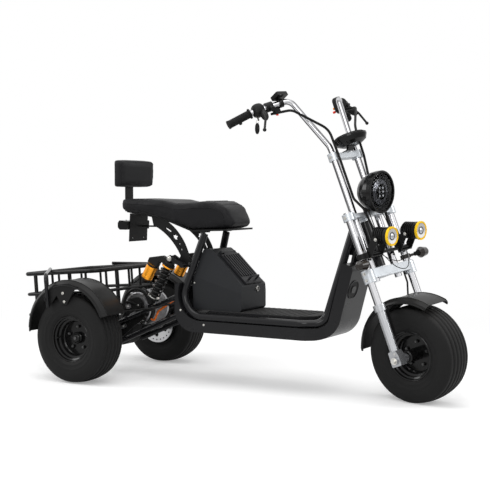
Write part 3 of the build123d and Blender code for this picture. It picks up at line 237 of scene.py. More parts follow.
def finish(name, color, rough, metal=0.0, coat=0.0, spread=0.25, roughSpread=0.15, cloud=7.0,
           grainScale=500.0, grainDepth=0.0, pebbles=0.0, dustiness=0.0, specular=0.13, sheen=0.0,
               paintedReflection=0.0):
    look = bpy.data.materials.new(name)
    look.use_nodes = True
    tree = look.node_tree
    shader = tree.nodes["Principled BSDF"]
    shader.inputs["Metallic"].default_value = metal
    shader.inputs["Coat Weight"].default_value = coat
    shader.inputs["Coat Roughness"].default_value = 0.06
    shader.inputs["Specular IOR Level"].default_value = specular
    shader.inputs["Sheen Weight"].default_value = sheen
    varied = addGroup(tree, mottle, Color=(*color, 1), Scale=cloud, Spread=spread, Rough=rough,
                      Rough_Spread=roughSpread)
    colorOut = varied.outputs["Color"]
    if dustiness:
        settled = addGroup(tree, dust, Amount=dustiness)
        tree.links.new(colorOut, settled.inputs["Color"])
        colorOut = settled.outputs["Color"]
    if paintedReflection:  # painted reflection: by viewing angle (Layer Weight Facing) the base colour gets a dark band between the bright middle and the bright edge, standing in for the dark reflections on polished metal
        facing = tree.nodes.new("ShaderNodeLayerWeight")
        band = tree.nodes.new("ShaderNodeValToRGB")
        stops = band.color_ramp.elements
        stops[0].position, stops[0].color = 0.0, (1, 1, 1, 1)
        stops[1].position, stops[1].color = 1.0, (0.9, 0.9, 0.9, 1)
        # the tones of the painted reflection's dark band, from facing to grazing
        for at, tone in ((0.16, 0.95), (0.24, 1 - paintedReflection), (0.42, 1 - paintedReflection * 0.85), (0.52, 0.9), (0.72,
                0.55)):
            stop = stops.new(at)
            stop.color = (tone, tone, tone, 1)
        reflectionPaintedColor = tree.nodes.new("ShaderNodeMix")
        reflectionPaintedColor.data_type = "RGBA"
        reflectionPaintedColor.blend_type = "MULTIPLY"
        reflectionPaintedColor.inputs["Factor"].default_value = 1.0
        tree.links.new(facing.outputs["Facing"], band.inputs["Fac"])
        tree.links.new(colorOut, reflectionPaintedColor.inputs["A"])
        tree.links.new(band.outputs["Color"], reflectionPaintedColor.inputs["B"])
        colorOut = reflectionPaintedColor.outputs["Result"]
    tree.links.new(colorOut, shader.inputs["Base Color"])
    tree.links.new(varied.outputs["Roughness"], shader.inputs["Roughness"])
    if grainDepth:
        relief = addGroup(tree, grain, Scale=grainScale, Pebble=pebbles)
        bump = tree.nodes.new("ShaderNodeBump")
        bump.inputs["Strength"].default_value = 1.0
        bump.inputs["Distance"].default_value = grainDepth / 1000
        tree.links.new(relief.outputs["Height"], bump.inputs["Height"])
        tree.links.new(bump.outputs["Normal"], shader.inputs["Normal"])
    return look


looks = dict(
    frameBlack=dict(color=(0.008, 0.008, 0.009), rough=0.2, coat=0.25, grainScale=120, grainDepth=0.05,
        dustiness=0.03),
    deckBlack=dict(color=(0.011, 0.011, 0.012), rough=0.28, coat=0.15, grainScale=90, grainDepth=0.06,
        dustiness=0.04),
    matRubber=dict(color=(0.012, 0.012, 0.013), rough=0.7, grainScale=420, grainDepth=0.5, pebbles=0.8,
        dustiness=0.1),
    boxPlastic=dict(color=(0.021, 0.022, 0.024), rough=0.4, grainScale=900, grainDepth=0.12,
        pebbles=0.4, dustiness=0.05),
    lidPlastic=dict(color=(0.014, 0.014, 0.016), rough=0.4, grainScale=900, grainDepth=0.1,
        pebbles=0.4, dustiness=0.05),
    packGrey=dict(color=(0.09, 0.09, 0.1), rough=0.5, grainScale=600, grainDepth=0.1),
    seatLeather=dict(color=(0.009, 0.009, 0.010), rough=0.46, grainScale=620, grainDepth=0.22,
        pebbles=0.9, spread=0.3, sheen=0.02),
    padLeather=dict(color=(0.010, 0.010, 0.011), rough=0.48, grainScale=620, grainDepth=0.2,
        pebbles=0.9, sheen=0.02),
    powderBlack=dict(color=(0.009, 0.009, 0.009), rough=0.36, coat=0.05, grainScale=800,
        grainDepth=0.08, dustiness=0.03),
    fenderPlastic=dict(color=(0.012, 0.012, 0.012), rough=0.34, grainScale=700, grainDepth=0.07,
        dustiness=0.06),
    gaugeBlack=dict(color=(0.007, 0.007, 0.007), rough=0.2, coat=0.15, grainScale=200, grainDepth=0.02),
    controlPlastic=dict(color=(0.009, 0.009, 0.009), rough=0.4, grainScale=900, grainDepth=0.08),
    # chrome's base colour carries a painted reflection: a dark band by viewing angle
    chromeTube=dict(color=(0.74, 0.74, 0.76), rough=0.09, metal=1.0, spread=0.08, roughSpread=0.05,
        grainScale=60, grainDepth=0.01, paintedReflection=0.86),
    clampAlloy=dict(color=(0.58, 0.61, 0.64), rough=0.34, metal=0.6, spread=0.12, grainScale=900,
        grainDepth=0.05),
    # alloy's base colour carries a painted reflection: a dark band by viewing angle
    legAlloy=dict(color=(0.56, 0.57, 0.59), rough=0.24, metal=0.75, spread=0.12, grainScale=700,
        grainDepth=0.05, paintedReflection=0.45),
    discSteel=dict(color=(0.6, 0.6, 0.61), rough=0.3, metal=1.0, cloud=30, spread=0.3, grainScale=1500,
        grainDepth=0.03),
    boltSteel=dict(color=(0.62, 0.61, 0.58), rough=0.3, metal=1.0, cloud=90, spread=0.3,
        grainScale=2000, grainDepth=0.02),
    nutDark=dict(color=(0.1, 0.1, 0.1), rough=0.36, metal=0.8, cloud=90, spread=0.3, grainScale=2000,
        grainDepth=0.02),
    motorAlloy=dict(color=(0.42, 0.42, 0.43), rough=0.38, metal=0.9, cloud=40, spread=0.5,
        grainScale=800, grainDepth=0.15),
    castBlack=dict(color=(0.012, 0.012, 0.012), rough=0.5, grainScale=500, grainDepth=0.2, dustiness=0.05),
    springBlack=dict(color=(0.008, 0.008, 0.008), rough=0.22, coat=0.2, grainScale=300, grainDepth=0.03),
    goldAnodised=dict(color=(0.95, 0.38, 0.03), rough=0.25, metal=0.75, cloud=30, spread=0.2,
        grainScale=1200, grainDepth=0.02),
    ringYellow=dict(color=(0.95, 0.6, 0.02), rough=0.35, metal=0.2, cloud=40, spread=0.15,
        grainScale=900, grainDepth=0.02),
    gripRubber=dict(color=(0.011, 0.011, 0.011), rough=0.6, grainScale=1500, grainDepth=0.15),
    cableRubber=dict(color=(0.008, 0.008, 0.008), rough=0.42, grainScale=900, grainDepth=0.05),
    cableOrange=dict(color=(0.9, 0.2, 0.03), rough=0.45, grainScale=900, grainDepth=0.05),
    tyreRubber=dict(color=(0.012, 0.012, 0.012), rough=0.62, grainScale=700, grainDepth=0.25, cloud=12,
        spread=0.4, dustiness=0.08),
    rimBlack=dict(color=(0.007, 0.007, 0.007), rough=0.22, coat=0.2, grainScale=260, grainDepth=0.06),
    buttonRed=dict(color=(0.75, 0.04, 0.02), rough=0.4, grainScale=900, grainDepth=0.03),
    signalSmoke=dict(color=(0.016, 0.012, 0.010), rough=0.16, coat=0.5, grainScale=700, grainDepth=0.2,
        pebbles=1.0),
    lampRed=dict(color=(0.24, 0.012, 0.012), rough=0.15, coat=0.5, grainScale=600, grainDepth=0.3,
        pebbles=1.0),
    mirrorBowl=dict(color=(0.2, 0.2, 0.21), rough=0.14, metal=1.0, spread=0.2, grainScale=200,
        grainDepth=0.02),
    brightBowl=dict(color=(0.85, 0.85, 0.84), rough=0.16, metal=0.9, spread=0.25, cloud=120,
        grainScale=900, grainDepth=0.05, pebbles=0.7),
    projectorEye=dict(color=(0.5, 0.52, 0.55), rough=0.06, metal=0.5, coat=0.8, spread=0.6, cloud=90),
    screenGlass=dict(color=(0.36, 0.42, 0.46), rough=0.12, coat=0.7, spread=0.12, cloud=30),
    dialFace=dict(color=(0.02, 0.025, 0.03), rough=0.1, coat=0.8, cloud=20),
    markWhite=dict(color=(0.75, 0.75, 0.72), rough=0.5, cloud=60),
    buttonOrange=dict(color=(0.85, 0.3, 0.03), rough=0.4, grainScale=900, grainDepth=0.03))
looks = {name: finish(name, **values) for name, values in looks.items()}


def clearGlass(name, color, rough, ior=1.35):
    look = finish(name, color, rough, spread=0.05, roughSpread=0.02)
    look.node_tree.nodes["Principled BSDF"].inputs["Transmission Weight"].default_value = 1.0
    look.node_tree.nodes["Principled BSDF"].inputs["IOR"].default_value = ior
    return look


looks["lensSmoke"] = clearGlass("lensSmoke", (0.62, 0.63, 0.65), 0.02, 1.12)
looks["lensClear"] = clearGlass("lensClear", (0.95, 0.96, 0.97), 0.02)

nodeLooks = dict(
    main_frame="frameBlack", deck_pan="deckBlack", deck_mat="matRubber", battery_box="boxPlastic",
    battery_pack="packGrey", battery_lid="lidPlastic", seat_base="powderBlack", seat_cushion="seatLeather",
    seat_brackets="powderBlack", backrest_pad="padLeather", seat_arms="powderBlack",
        tail_light="gaugeBlack",
    rear_frame="frameBlack", rear_axle="castBlack", motor="motorAlloy", shock_bodies="castBlack",
    shock_springs="springBlack", shock_reservoirs="goldAnodised", basket="powderBlack",
    rear_fenders="fenderPlastic", fender_stays="frameBlack", rear_calipers="castBlack",
        rear_cables="cableRubber",
    motor_cable="cableOrange", fork_clamps="clampAlloy", fork_tubes="chromeTube", fork_legs="legAlloy",
    handlebar="chromeTube", grips="gripRubber", bar_controls="controlPlastic", brake_levers="powderBlack",
    instruments="gaugeBlack", headlight_bowl="gaugeBlack", headlight_lens="lensSmoke",
        lamp_bar="powderBlack",
    spot_lights="powderBlack", spot_rings="ringYellow", turn_signals="signalSmoke",
    front_fender="fenderPlastic", front_caliper="castBlack", control_cables="cableRubber",
    front_tyre="tyreRubber", front_rim="rimBlack", front_disc="discSteel", rear_right_tyre="tyreRubber",
    rear_right_rim="rimBlack", rear_right_disc="discSteel", rear_left_tyre="tyreRubber",
    rear_left_rim="rimBlack", rear_left_disc="discSteel")
for nodeName, lookName in nodeLooks.items():
    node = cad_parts[nodeName]
    for slot in node.material_slots:
        slot.material = looks[lookName]
print("finishes on", len(nodeLooks), "nodes")


# making and joining pieces
def newPiece(name, verts, faces, look, body, smooth=True):
    mesh = bpy.data.meshes.new(name)
    mesh.from_pydata([tuple(v) for v in verts], [], faces)
    mesh.materials.append(looks[look])
    if smooth:
        mesh.shade_smooth()
    piece = bpy.data.objects.new(name, mesh)
    bpy.context.scene.collection.objects.link(piece)
    if body:
        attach(piece, body)
    return piece


def axisFrame(origin, along, sideways=None):
    along = Vector(along).normalized()
    sideways = Vector(sideways) if sideways else along.orthogonal()
    sideways = (sideways - along * sideways.dot(along)).normalized()
    return Matrix.Translation(origin) @ Matrix((sideways, along.cross(sideways),
        along)).transposed().to_4x4()


def lathe(profile, place, steps=96, closed=True):
    # profile: (distance along the axis, radius) in metres, going round so that faces point outwards
    verts, faces = [], []
    count = len(profile)
    for i in range(steps):
        angle = 2 * math.pi * i / steps
        for along, radius in profile:
            verts.append(place @ Vector((radius * math.cos(angle), radius * math.sin(angle), along)))
    spans = count if closed else count - 1
    for i in range(steps):
        j = (i + 1) % steps
        for k in range(spans):
            m = (k + 1) % count
            faces.append((i * count + k, j * count + k, j * count + m, i * count + m))
    return verts, faces


def tidyNormals(piece):
    bm = bmesh.new()
    bm.from_mesh(piece.data)
    bmesh.ops.remove_doubles(bm, verts=bm.verts, dist=0.00002)
    bmesh.ops.recalc_face_normals(bm, faces=bm.faces)
    bm.to_mesh(piece.data)
    bm.free()
    return piece


def baked(piece):
    graph = bpy.context.evaluated_depsgraph_get()
    mesh = bpy.data.meshes.new_from_object(piece.evaluated_get(graph))
    piece.modifiers.clear()
    old = piece.data
    piece.data = mesh
    bpy.data.meshes.remove(old)
    return piece


# small makers: tubes, turned shapes and plates, gathered into one piece each
def smoothPath(points, per=8):
    points = [Vector(p) for p in points]
    ends = [2 * points[0] - points[1]] + points + [2 * points[-1] - points[-2]]
    path = []
    for a, b, c, d in zip(ends, ends[1:], ends[2:], ends[3:]):
        for i in range(per):
            t = i / per
            path.append(0.5 * (2 * b + (c - a) * t + (2 * a - 5 * b + 4 * c - d) * t * t
                               + (3 * b - a - 3 * c + d) * t ** 3))
    return path + [points[-1]]


def tube(points, radius, sides=10):
    verts, faces = [], []
    heading = (points[1] - points[0]).normalized()
    side = heading.orthogonal().normalized()
    last = len(points) - 1
    for i, point in enumerate(points):
        heading = (points[min(i + 1, last)] - points[max(i - 1, 0)]).normalized()
        side = (side - heading * side.dot(heading)).normalized()
        other = heading.cross(side)
        for k in range(sides):
            angle = 2 * math.pi * k / sides
            verts.append(point + (side * math.cos(angle) + other * math.sin(angle)) * radius)
    for i in range(last):
        for k in range(sides):
            m = (k + 1) % sides
            faces.append((i * sides + k, i * sides + m, (i + 1) * sides + m, (i + 1) * sides + k))
    faces.append(tuple(range(sides))[::-1])
    faces.append(tuple(last * sides + k for k in range(sides)))
    return verts, faces


def plate(outline, place, low, high):
    count = len(outline)
    verts = [place @ Vector((x, y, low)) for x, y in outline] + [place @ Vector((x, y, high)) for x,
        y in outline]
    faces = [tuple(range(count))[::-1], tuple(range(count, 2 * count))]
    for k in range(count):
        m = (k + 1) % count
        faces.append((k, m, count + m, count + k))
    return verts, faces


def roundedBox(wide, high, bend, steps=5):
    corners = []
    for i, (sx, sy) in enumerate(((1, 1), (-1, 1), (-1, -1), (1, -1))):
        for k in range(steps + 1):
            angle = math.pi / 2 * (i + k / steps)
            corners.append((sx * (wide / 2 - bend) + bend * math.cos(angle),
                            sy * (high / 2 - bend) + bend * math.sin(angle)))
    return corners


def gathered(name, shapes, body, sharp=38):
    # shapes: (verts, faces, finish)
    verts, faces, marks, finishes = [], [], [], []
    for shapeVerts, shapeFaces, look in shapes:
        if look not in finishes:
            finishes.append(look)
        start = len(verts)
        verts += shapeVerts
        faces += [tuple(start + i for i in f) for f in shapeFaces]
        marks += [finishes.index(look)] * len(shapeFaces)
    mesh = bpy.data.meshes.new(name)
    mesh.from_pydata([tuple(v) for v in verts], [], faces)
    for look in finishes:
        mesh.materials.append(looks[look])
    mesh.polygons.foreach_set("material_index", marks)
    piece = bpy.data.objects.new(name, mesh)
    bpy.context.scene.collection.objects.link(piece)
    bm = bmesh.new()
    bm.from_mesh(mesh)
    bmesh.ops.recalc_face_normals(bm, faces=bm.faces)
    bm.to_mesh(mesh)
    bm.free()
    mesh.shade_smooth()
    mesh.set_sharp_from_angle(angle=math.radians(sharp))
    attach(piece, body)
    return piece


def capped(profile, place, steps):
    verts, faces = lathe(profile, place, steps, closed=False)
    count = len(profile)
    faces.append(tuple(i * count for i in range(steps)))
    faces.append(tuple(i * count + count - 1 for i in range(steps)))
    return verts, faces


def disc(place, low, high, radius, look, bevel=0.0, steps=40, hole=0.0):
    profile = [(low, hole), (low, radius - bevel), (low + bevel, radius), (high - bevel, radius),
               (high, radius - bevel), (high, hole)]
    if not bevel:
        profile = [(low, hole), (low, radius), (high, radius), (high, hole)]
    if hole:
        return (*lathe(profile, place, steps), look)
    return (*capped([p for p in profile if p[1] > 0], place, steps), look)


# springs: real coils in place of the sleeves, and their adjusting rings
springForm = dict(low=(252.0, 366.0), top=(370.0, 572.0), side=134.0, start=27.0, end=196.6, coils=7.5,
    mean=24.4,
                  wire=4.4, ring=30.5)
shockLow, shockTop = Vector(springForm["low"]), Vector(springForm["top"])
shockLine = (shockTop - shockLow).normalized()


def onShock(along, s, back=0.0):
    return mm(shockLow.x + shockLine.x * along - shockLine.y * back, s * springForm["side"],
              shockLow.y + shockLine.y * along + shockLine.x * back)


coils, rings = [], []
for s in (-1, 1):
    base = axisFrame(onShock(0, s), (shockLine.x, 0, shockLine.y), (0, 1, 0))
    count = int(springForm["coils"] * 28)
    path = []
    for i in range(count + 1):
        share = i / count
        eased = share + 0.03 * math.sin(2 * math.pi * share) * -1
        angle = 2 * math.pi * springForm["coils"] * share
        rise = springForm["start"] + springForm["wire"] + eased * (
            springForm["end"] - springForm["start"] - 2 * springForm["wire"])
        path.append(base @ (Vector((springForm["mean"] * math.cos(angle),
            springForm["mean"] * math.sin(angle),
                                    rise)) / 1000))
    coils.append((*tube(path, springForm["wire"] / 1000, 9), "springBlack"))
    rings.append(disc(base, 0.1905, 0.1972, springForm["ring"] / 1000, "goldAnodised", 0.001, hole=0.0155))
    rings.append(disc(base, 0.0272, 0.0302, 0.0285, "boltSteel", 0.0008, hole=0.0155))
springs = gathered("coilSprings", coils, "chassis", 60)
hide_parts("shock_springs")
gathered("springRings", rings, "chassis")

reservoirs = []
for s in (-1, 1):
    base = axisFrame(onShock(0, s, 77.0), (shockLine.x, 0, shockLine.y), (0, 1, 0))
    for low, high, radius, look in ((0.0785, 0.0845, 0.0276, "castBlack"), (0.1485, 0.1582, 0.0276,
            "castBlack"),
                                    (0.094, 0.0965, 0.0274, "goldAnodised"), (0.140, 0.1425, 0.0274,
                                    "goldAnodised")):
        reservoirs.append(disc(base, low, high, radius, look, 0.0008, hole=0.026))
    nut = axisFrame(mm(370, s * 134, 572), (0, s, 0))
    reservoirs.append(disc(nut, 0.0212, 0.0282, 0.0125, "boltSteel", 0.0015))
    reservoirs.append(disc(nut, 0.0282, 0.0345, 0.0085, "boltSteel", 0.003, 6))
gathered("reservoirBands", reservoirs, "chassis")
print("springs wound")

# headlight: a dark panel of cells behind the domed lens
lampForm = dict(panel=0.031, panelR=0.0805, facets=22, facetIn=0.034, facetOut=0.053)
lampPlace = axisFrame(fork(97, 0, 906), lampAxis, steerUp)
cells = [disc(lampPlace, lampForm["panel"] - 0.004, lampForm["panel"], lampForm["panelR"], "gaugeBlack",
    0.001, 72)]
for k in range(lampForm["facets"]):
    a0 = 2 * math.pi * (k + 0.08) / lampForm["facets"]
    a1 = 2 * math.pi * (k + 0.92) / lampForm["facets"]
    inner, outer = lampForm["facetIn"], lampForm["facetOut"]
    wedge = [(inner * math.cos(a0), inner * math.sin(a0)), (outer * math.cos(a0), outer * math.sin(a0)),
             (outer * math.cos(a1), outer * math.sin(a1)), (inner * math.cos(a1), inner * math.sin(a1))]
    verts, faces = plate(wedge, lampPlace, lampForm["panel"], lampForm["panel"] + 0.004)
    for i in (4, 7):
        verts[i] = verts[i] + lampAxis * 0.004
    cells.append((verts, faces, "mirrorBowl"))
cells.append(disc(lampPlace, lampForm["panel"], lampForm["panel"] + 0.007, 0.0605, "castBlack", 0.001, 64,
    hole=0.0555))
cells.append(disc(lampPlace, lampForm["panel"], lampForm["panel"] + 0.009, 0.0805, "gaugeBlack", 0.002, 72,
                  hole=0.072))
for row in (-1, 0, 1):
    for column in (-1, 1):
        cell = lampPlace @ Matrix.Translation((row * 0.0165, column * 0.0115, 0))
        cells.append((*plate(roundedBox(0.0145, 0.0195, 0.002), cell, lampForm["panel"],
            lampForm["panel"] + 0.007),
                      "castBlack"))
        cells.append(disc(cell, lampForm["panel"] + 0.007, lampForm["panel"] + 0.0085, 0.0055,
            "lensClear", 0.001, 20))
gathered("headlightPanel", cells, "steering", 25)
trim = [disc(lampPlace, 0.0405, 0.0475, 0.0905, "gaugeBlack", 0.002, 96, hole=0.0822)]
gathered("headlightTrim", trim, "steering")

# spot lamps: bright bowls with a projector eye, a ring and screws
spotForm = dict(f=184.0, side=105.0, u=689.0)
spots = []
for s in (-1, 1):
    lamp = axisFrame(fork(spotForm["f"], s * spotForm["side"], spotForm["u"]), lampAxis, steerUp)
    verts, faces = lathe([(0.0041, 0.0315), (0.0060, 0.0313), (0.0052, 0.0240), (0.0047, 0.0165), (0.0041,
        0.0165)],
                         lamp, 48)
    spots.append((verts, faces, "brightBowl"))
    spots.append((*lathe([(0.0041, 0.0166), (0.0062, 0.0164), (0.0064, 0.0140), (0.0041, 0.0138)], lamp,
        40),
                  "castBlack"))
    dome = [(0.0041, 0.0139)] + [(0.0041 + 0.0046 * math.sin(a), 0.0139 * math.cos(a))
                                 for a in (0.25, 0.6, 0.95, 1.25, 1.48)]
    spots.append((*capped(dome, lamp, 32), "projectorEye"))
    spots.append(disc(lamp, 0.0055, 0.0078, 0.0402, "ringYellow", 0.0009, 56, hole=0.0335))
    for k in range(6):  # notches' studs round the ring
        angle = 2 * math.pi * (k + 0.5) / 6
        stud = lamp @ Matrix.Translation((0.0368 * math.cos(angle), 0.0368 * math.sin(angle), 0))
        spots.append(disc(stud, 0.0075, 0.0088, 0.0014, "castBlack", 0.0003, 10))
gathered("spotFaces", spots, "steering", 30)

# tail lamp: a ribbed red lens on the back of its housing
tail = []
rearFace = Matrix(((0, 0, -1, 0), (-1, 0, 0, 0), (0, 1, 0, 0), (0, 0, 0, 1)))
tailPlace = Matrix.Translation(mm(26, 0, 719)) @ rearFace
tail.append((*plate(roundedBox(0.156, 0.020, 0.008), tailPlace, 0.0, 0.0022), "lampRed"))
for k in range(13):
    rib = tailPlace @ Matrix.Translation(((k - 6) * 0.0115, 0, 0))
    tail.append((*plate(roundedBox(0.004, 0.017, 0.0018, 3), rib, 0.0022, 0.0034), "lampRed"))
gathered("tailLens", tail, "chassis", 30)

# instruments: the screen's face, and the gauge's bezel and dial
barBend, gripIn, gripOut = Vector((-38, 167, 1389)), Vector((-127, 318, 1377)), Vector((-198, 412, 1352))


def onBar(share, s, start=barBend, end=gripIn):
    point = start.lerp(end, share)
    return Vector((point.x, s * point.y, point.z))


screenLocal = onBar(0.3, -1) + Vector((12, 6, 30))
screenUp = (steerUp - steerForward * 0.25).normalized()
screenPlace = axisFrame(fork(*screenLocal), screenUp, steerLeft)
face = [(*plate(roundedBox(0.060, 0.040, 0.004), screenPlace, 0.0080, 0.0088), "gaugeBlack"),
        (*plate(roundedBox(0.052, 0.032, 0.002), screenPlace, 0.0088, 0.0093), "screenGlass")]
for k in (-1, 0, 1):
    face.append((*plate(roundedBox(0.009, 0.003, 0.0012, 3), screenPlace @ Matrix.Translation((k * 0.014,
        -0.0176, 0)),
                        0.0092, 0.0099), "controlPlastic"))
gathered("screenFace", face, "steering")
dial = axisFrame(fork(74, 0, 1170), steerUp, steerForward)
dialShapes = [disc(dial, 0.0, 0.003, 0.066, "gaugeBlack", 0.0012, 72, hole=0.0585),
              disc(dial, 0.0, 0.0014, 0.0585, "dialFace", 0.0003, 64),
              disc(dial, 0.0014, 0.0048, 0.006, "controlPlastic", 0.001, 24),
              (*plate([(-0.002, -0.001), (0.038, -0.0004), (0.038, 0.0004), (-0.002, 0.001)],
                      dial @ Matrix.Rotation(math.radians(128), 4, "Z"), 0.002, 0.0032), "buttonRed")]
for k in range(25):
    angle = math.radians(-130 + 260 * k / 24)
    long = 0.010 if k % 4 == 0 else 0.005
    tick = dial @ Matrix.Rotation(angle, 4, "Z") @ Matrix.Translation((0.0515 - long / 2, 0, 0))
    dialShapes.append((*plate([(-long / 2, -0.0006), (long / 2, -0.0006), (long / 2, 0.0006), (-long / 2,
        0.0006)], tick,
                              0.0013, 0.0018), "markWhite"))
gathered("gaugeDial", dialShapes, "steering")
print("lamps and instruments faced")

# bar controls: switch pods with buttons, the key with its fob and the throttle's swollen housing
barHung = []


def blob(place, radii, look, steps=24, rows=12, power=2.6):
    verts, faces = [], []
    for i in range(rows + 1):
        tilt = math.pi * i / rows - math.pi / 2
        for k in range(steps):
            angle = 2 * math.pi * k / steps
            c, s = math.cos(tilt), math.sin(tilt)
            flat = [math.cos(angle) * c, math.sin(angle) * c, s]
            shaped = [math.copysign(abs(v) ** (2 / power), v) * r for v, r in zip(flat, radii)]
            verts.append(place @ Vector(shaped))
    for i in range(rows):
        for k in range(steps):
            m = (k + 1) % steps
            faces.append((i * steps + k, i * steps + m, (i + 1) * steps + m, (i + 1) * steps + k))
    return verts, faces, look


for s in (-1, 1):
    along = (fork(*onBar(1, s)) - fork(*onBar(0, s))).normalized()
    housing = axisFrame(fork(*onBar(0.86, s)), along, steerUp)
    barHung.append(blob(housing, (0.030, 0.026, 0.028), "controlPlastic"))
    lever = axisFrame(fork(-86, s * 300, 1348), (fork(-66, s * 322, 1325) - fork(-92, s * 300, 1368)),
        steerLeft)
    barHung.append(blob(lever, (0.015, 0.017, 0.036), "controlPlastic", power=2.2))
podPlace = axisFrame(fork(-74, 205, 1372), (fork(*onBar(1, 1)) - fork(*onBar(0, 1))), steerUp)
barHung.append(blob(podPlace, (0.036, 0.023, 0.027), "controlPlastic", power=4))
for k, look in enumerate(("buttonRed", "buttonOrange", "controlPlastic")):
    knob = axisFrame(fork(-86, 190 + 10 * k, 1346 + 18 * k), -steerForward - steerLeft * 0.5, steerUp)
    barHung.append(disc(knob, 0.004, 0.0165, 0.0055, look, 0.0015, 20))
rightPod = axisFrame(fork(*(onBar(0.36, -1) + Vector((-14, 4, -20)))), (fork(*onBar(1,
    -1)) - fork(*onBar(0, -1))), steerUp)
barHung.append(blob(rightPod, (0.017, 0.014, 0.016), "controlPlastic", power=4))
redKnob = axisFrame(fork(*(onBar(0.36, -1) + Vector((-14, 4, -34)))), -steerUp - steerForward * 0.4,
    steerLeft)
barHung.append(disc(redKnob, 0.0, 0.010, 0.0055, "buttonRed", 0.0015, 20))
bossPlace = axisFrame(fork(*onBar(0.55, -1, gripIn, gripOut)) - steerUp * 0.012, -steerUp, steerLeft)
barHung.append(disc(bossPlace, 0.0, 0.012, 0.007, "gripRubber", 0.002, 20))
gathered("barHousings", barHung, "steering", 50)

keyTop = fork(*onBar(0.92, -1)) - steerUp * 0.022
keyParts = [disc(axisFrame(keyTop, -steerUp, steerLeft), -0.006, 0.004, 0.009, "boltSteel", 0.001, 24),
            (*plate(roundedBox(0.0075, 0.016, 0.002), axisFrame(keyTop - steerUp * 0.014, -steerLeft,
            steerUp)
                    @ Matrix.Rotation(math.pi / 2, 4, "Z"), -0.0012, 0.0012), "boltSteel"),
            blob(axisFrame(keyTop - Vector((0, 0, 0.052)), Vector((0.4, -1, 0)), Vector((0, 0, 1))),
                 (0.024, 0.010, 0.0045), "controlPlastic", power=2.2)]
ringPath = [keyTop + Vector((0.0, 0.0, -0.024)) + Vector((0.006 * math.cos(a), 0, 0.006 * math.sin(a)))
            for a in [2 * math.pi * k / 20 for k in range(20)]]
keyParts.append((*tube(ringPath + ringPath[:1], 0.0009, 8), "boltSteel"))
gathered("keyAndFob", keyParts, "steering", 40)

# thin wires looped under the lamps
wires = []
for points, radius in ((((80, -72, 644), (98, -50, 612), (104, 0, 594), (98, 44, 608), (80, 66, 644)), 1.7),
                       (((78, -60, 644), (102, -34, 578), (108, 20, 556), (100, 70, 578), (80, 112, 644)),
                       1.7),
                       (((105, -105, 716), (92, -80, 700), (84, -60, 680), (80, -50, 658)), 2.2),
                       (((105, 105, 716), (92, 80, 700), (84, 62, 680), (80, 50, 658)), 2.2),
                       (((52, 0, 905), (56, 20, 880), (62, 34, 850), (76, 46, 800), (80, 50, 720)), 2.0),
                       (((52, 0, 900), (58, -24, 872), (70, -40, 840), (78, -48, 790), (80, -50, 720)),
                       2.0)):
    wires.append((*tube(smoothPath([fork(*p) for p in points]), radius / 1000, 8), "cableRubber"))
gathered("lampWires", wires, "steering", 60)
print("controls dressed")

# tyres: a ribbed crown, shoulder steps and beaded sidewalls
tyreForm = dict(grooves=(-46, -23, 0, 23, 46), grooveWide=6.0, grooveDeep=5.0, shoulder=68.0, half=79.0,
                bead=106.5, rimSide=66.6)


def crownAt(y):
    return shared["tyreR"] - shared["crownR"] + math.sqrt(shared["crownR"] ** 2 - y * y)


def tyreProfile():
    outline = []
    y = -tyreForm["shoulder"]
    stops = []
    for centre in tyreForm["grooves"]:
        half = tyreForm["grooveWide"] / 2
        stops += [(centre - half, 0), (centre - half + 1.2, -tyreForm["grooveDeep"]),
                  (centre + half - 1.2, -tyreForm["grooveDeep"]), (centre + half, 0)]
    outline.append((y, crownAt(y) - 3.0))
    outline.append((y + 3, crownAt(y + 3)))
    outline.append((y + 9, crownAt(y + 9)))
    for at, drop in stops:
        outline.append((at, crownAt(at) + drop))
    outline.append((-y - 9, crownAt(y + 9)))
    outline.append((-y - 3, crownAt(y + 3)))
    outline.append((-y, crownAt(y) - 3.0))
    wall = [(72.5, 186), (76, 176), (78.4, 166), (79, 158), (78.9, 150), (78, 142), (78.6, 140.5), (77.6,
        138.6),
            (75.8, 130), (73.4, 121), (73.9, 119.6), (72.6, 118), (70.2, 112), (67.4, 107.2), (63, 106.4),
            (62.8, 99.6)]
    outline += wall
    outline += [(-a, r) for a, r in wall[::-1]]
    return [(a / 1000, r / 1000) for a, r in outline]


wheels = (("front", fork(shared["axleForward"], 0, axleUp), -steerLeft, "front_wheel"),
          ("rear_right", mm(0, -shared["halfTrack"], shared["tyreR"]), Vector((0, -1, 0)),
          "rear_right_wheel"),
          ("rear_left", mm(0, shared["halfTrack"], shared["tyreR"]), Vector((0, 1, 0)), "rear_left_wheel"))
for wheelName, centre, outward, body in wheels:
    hub = axisFrame(centre, outward, (0, 0, 1))
    verts, faces = lathe(tyreProfile(), hub, 128)
    tyre = tidyNormals(newPiece(wheelName + "_ribbedTyre", verts, faces, "tyreRubber", body))
    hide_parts(wheelName + "_tyre")
print("tyres turned")


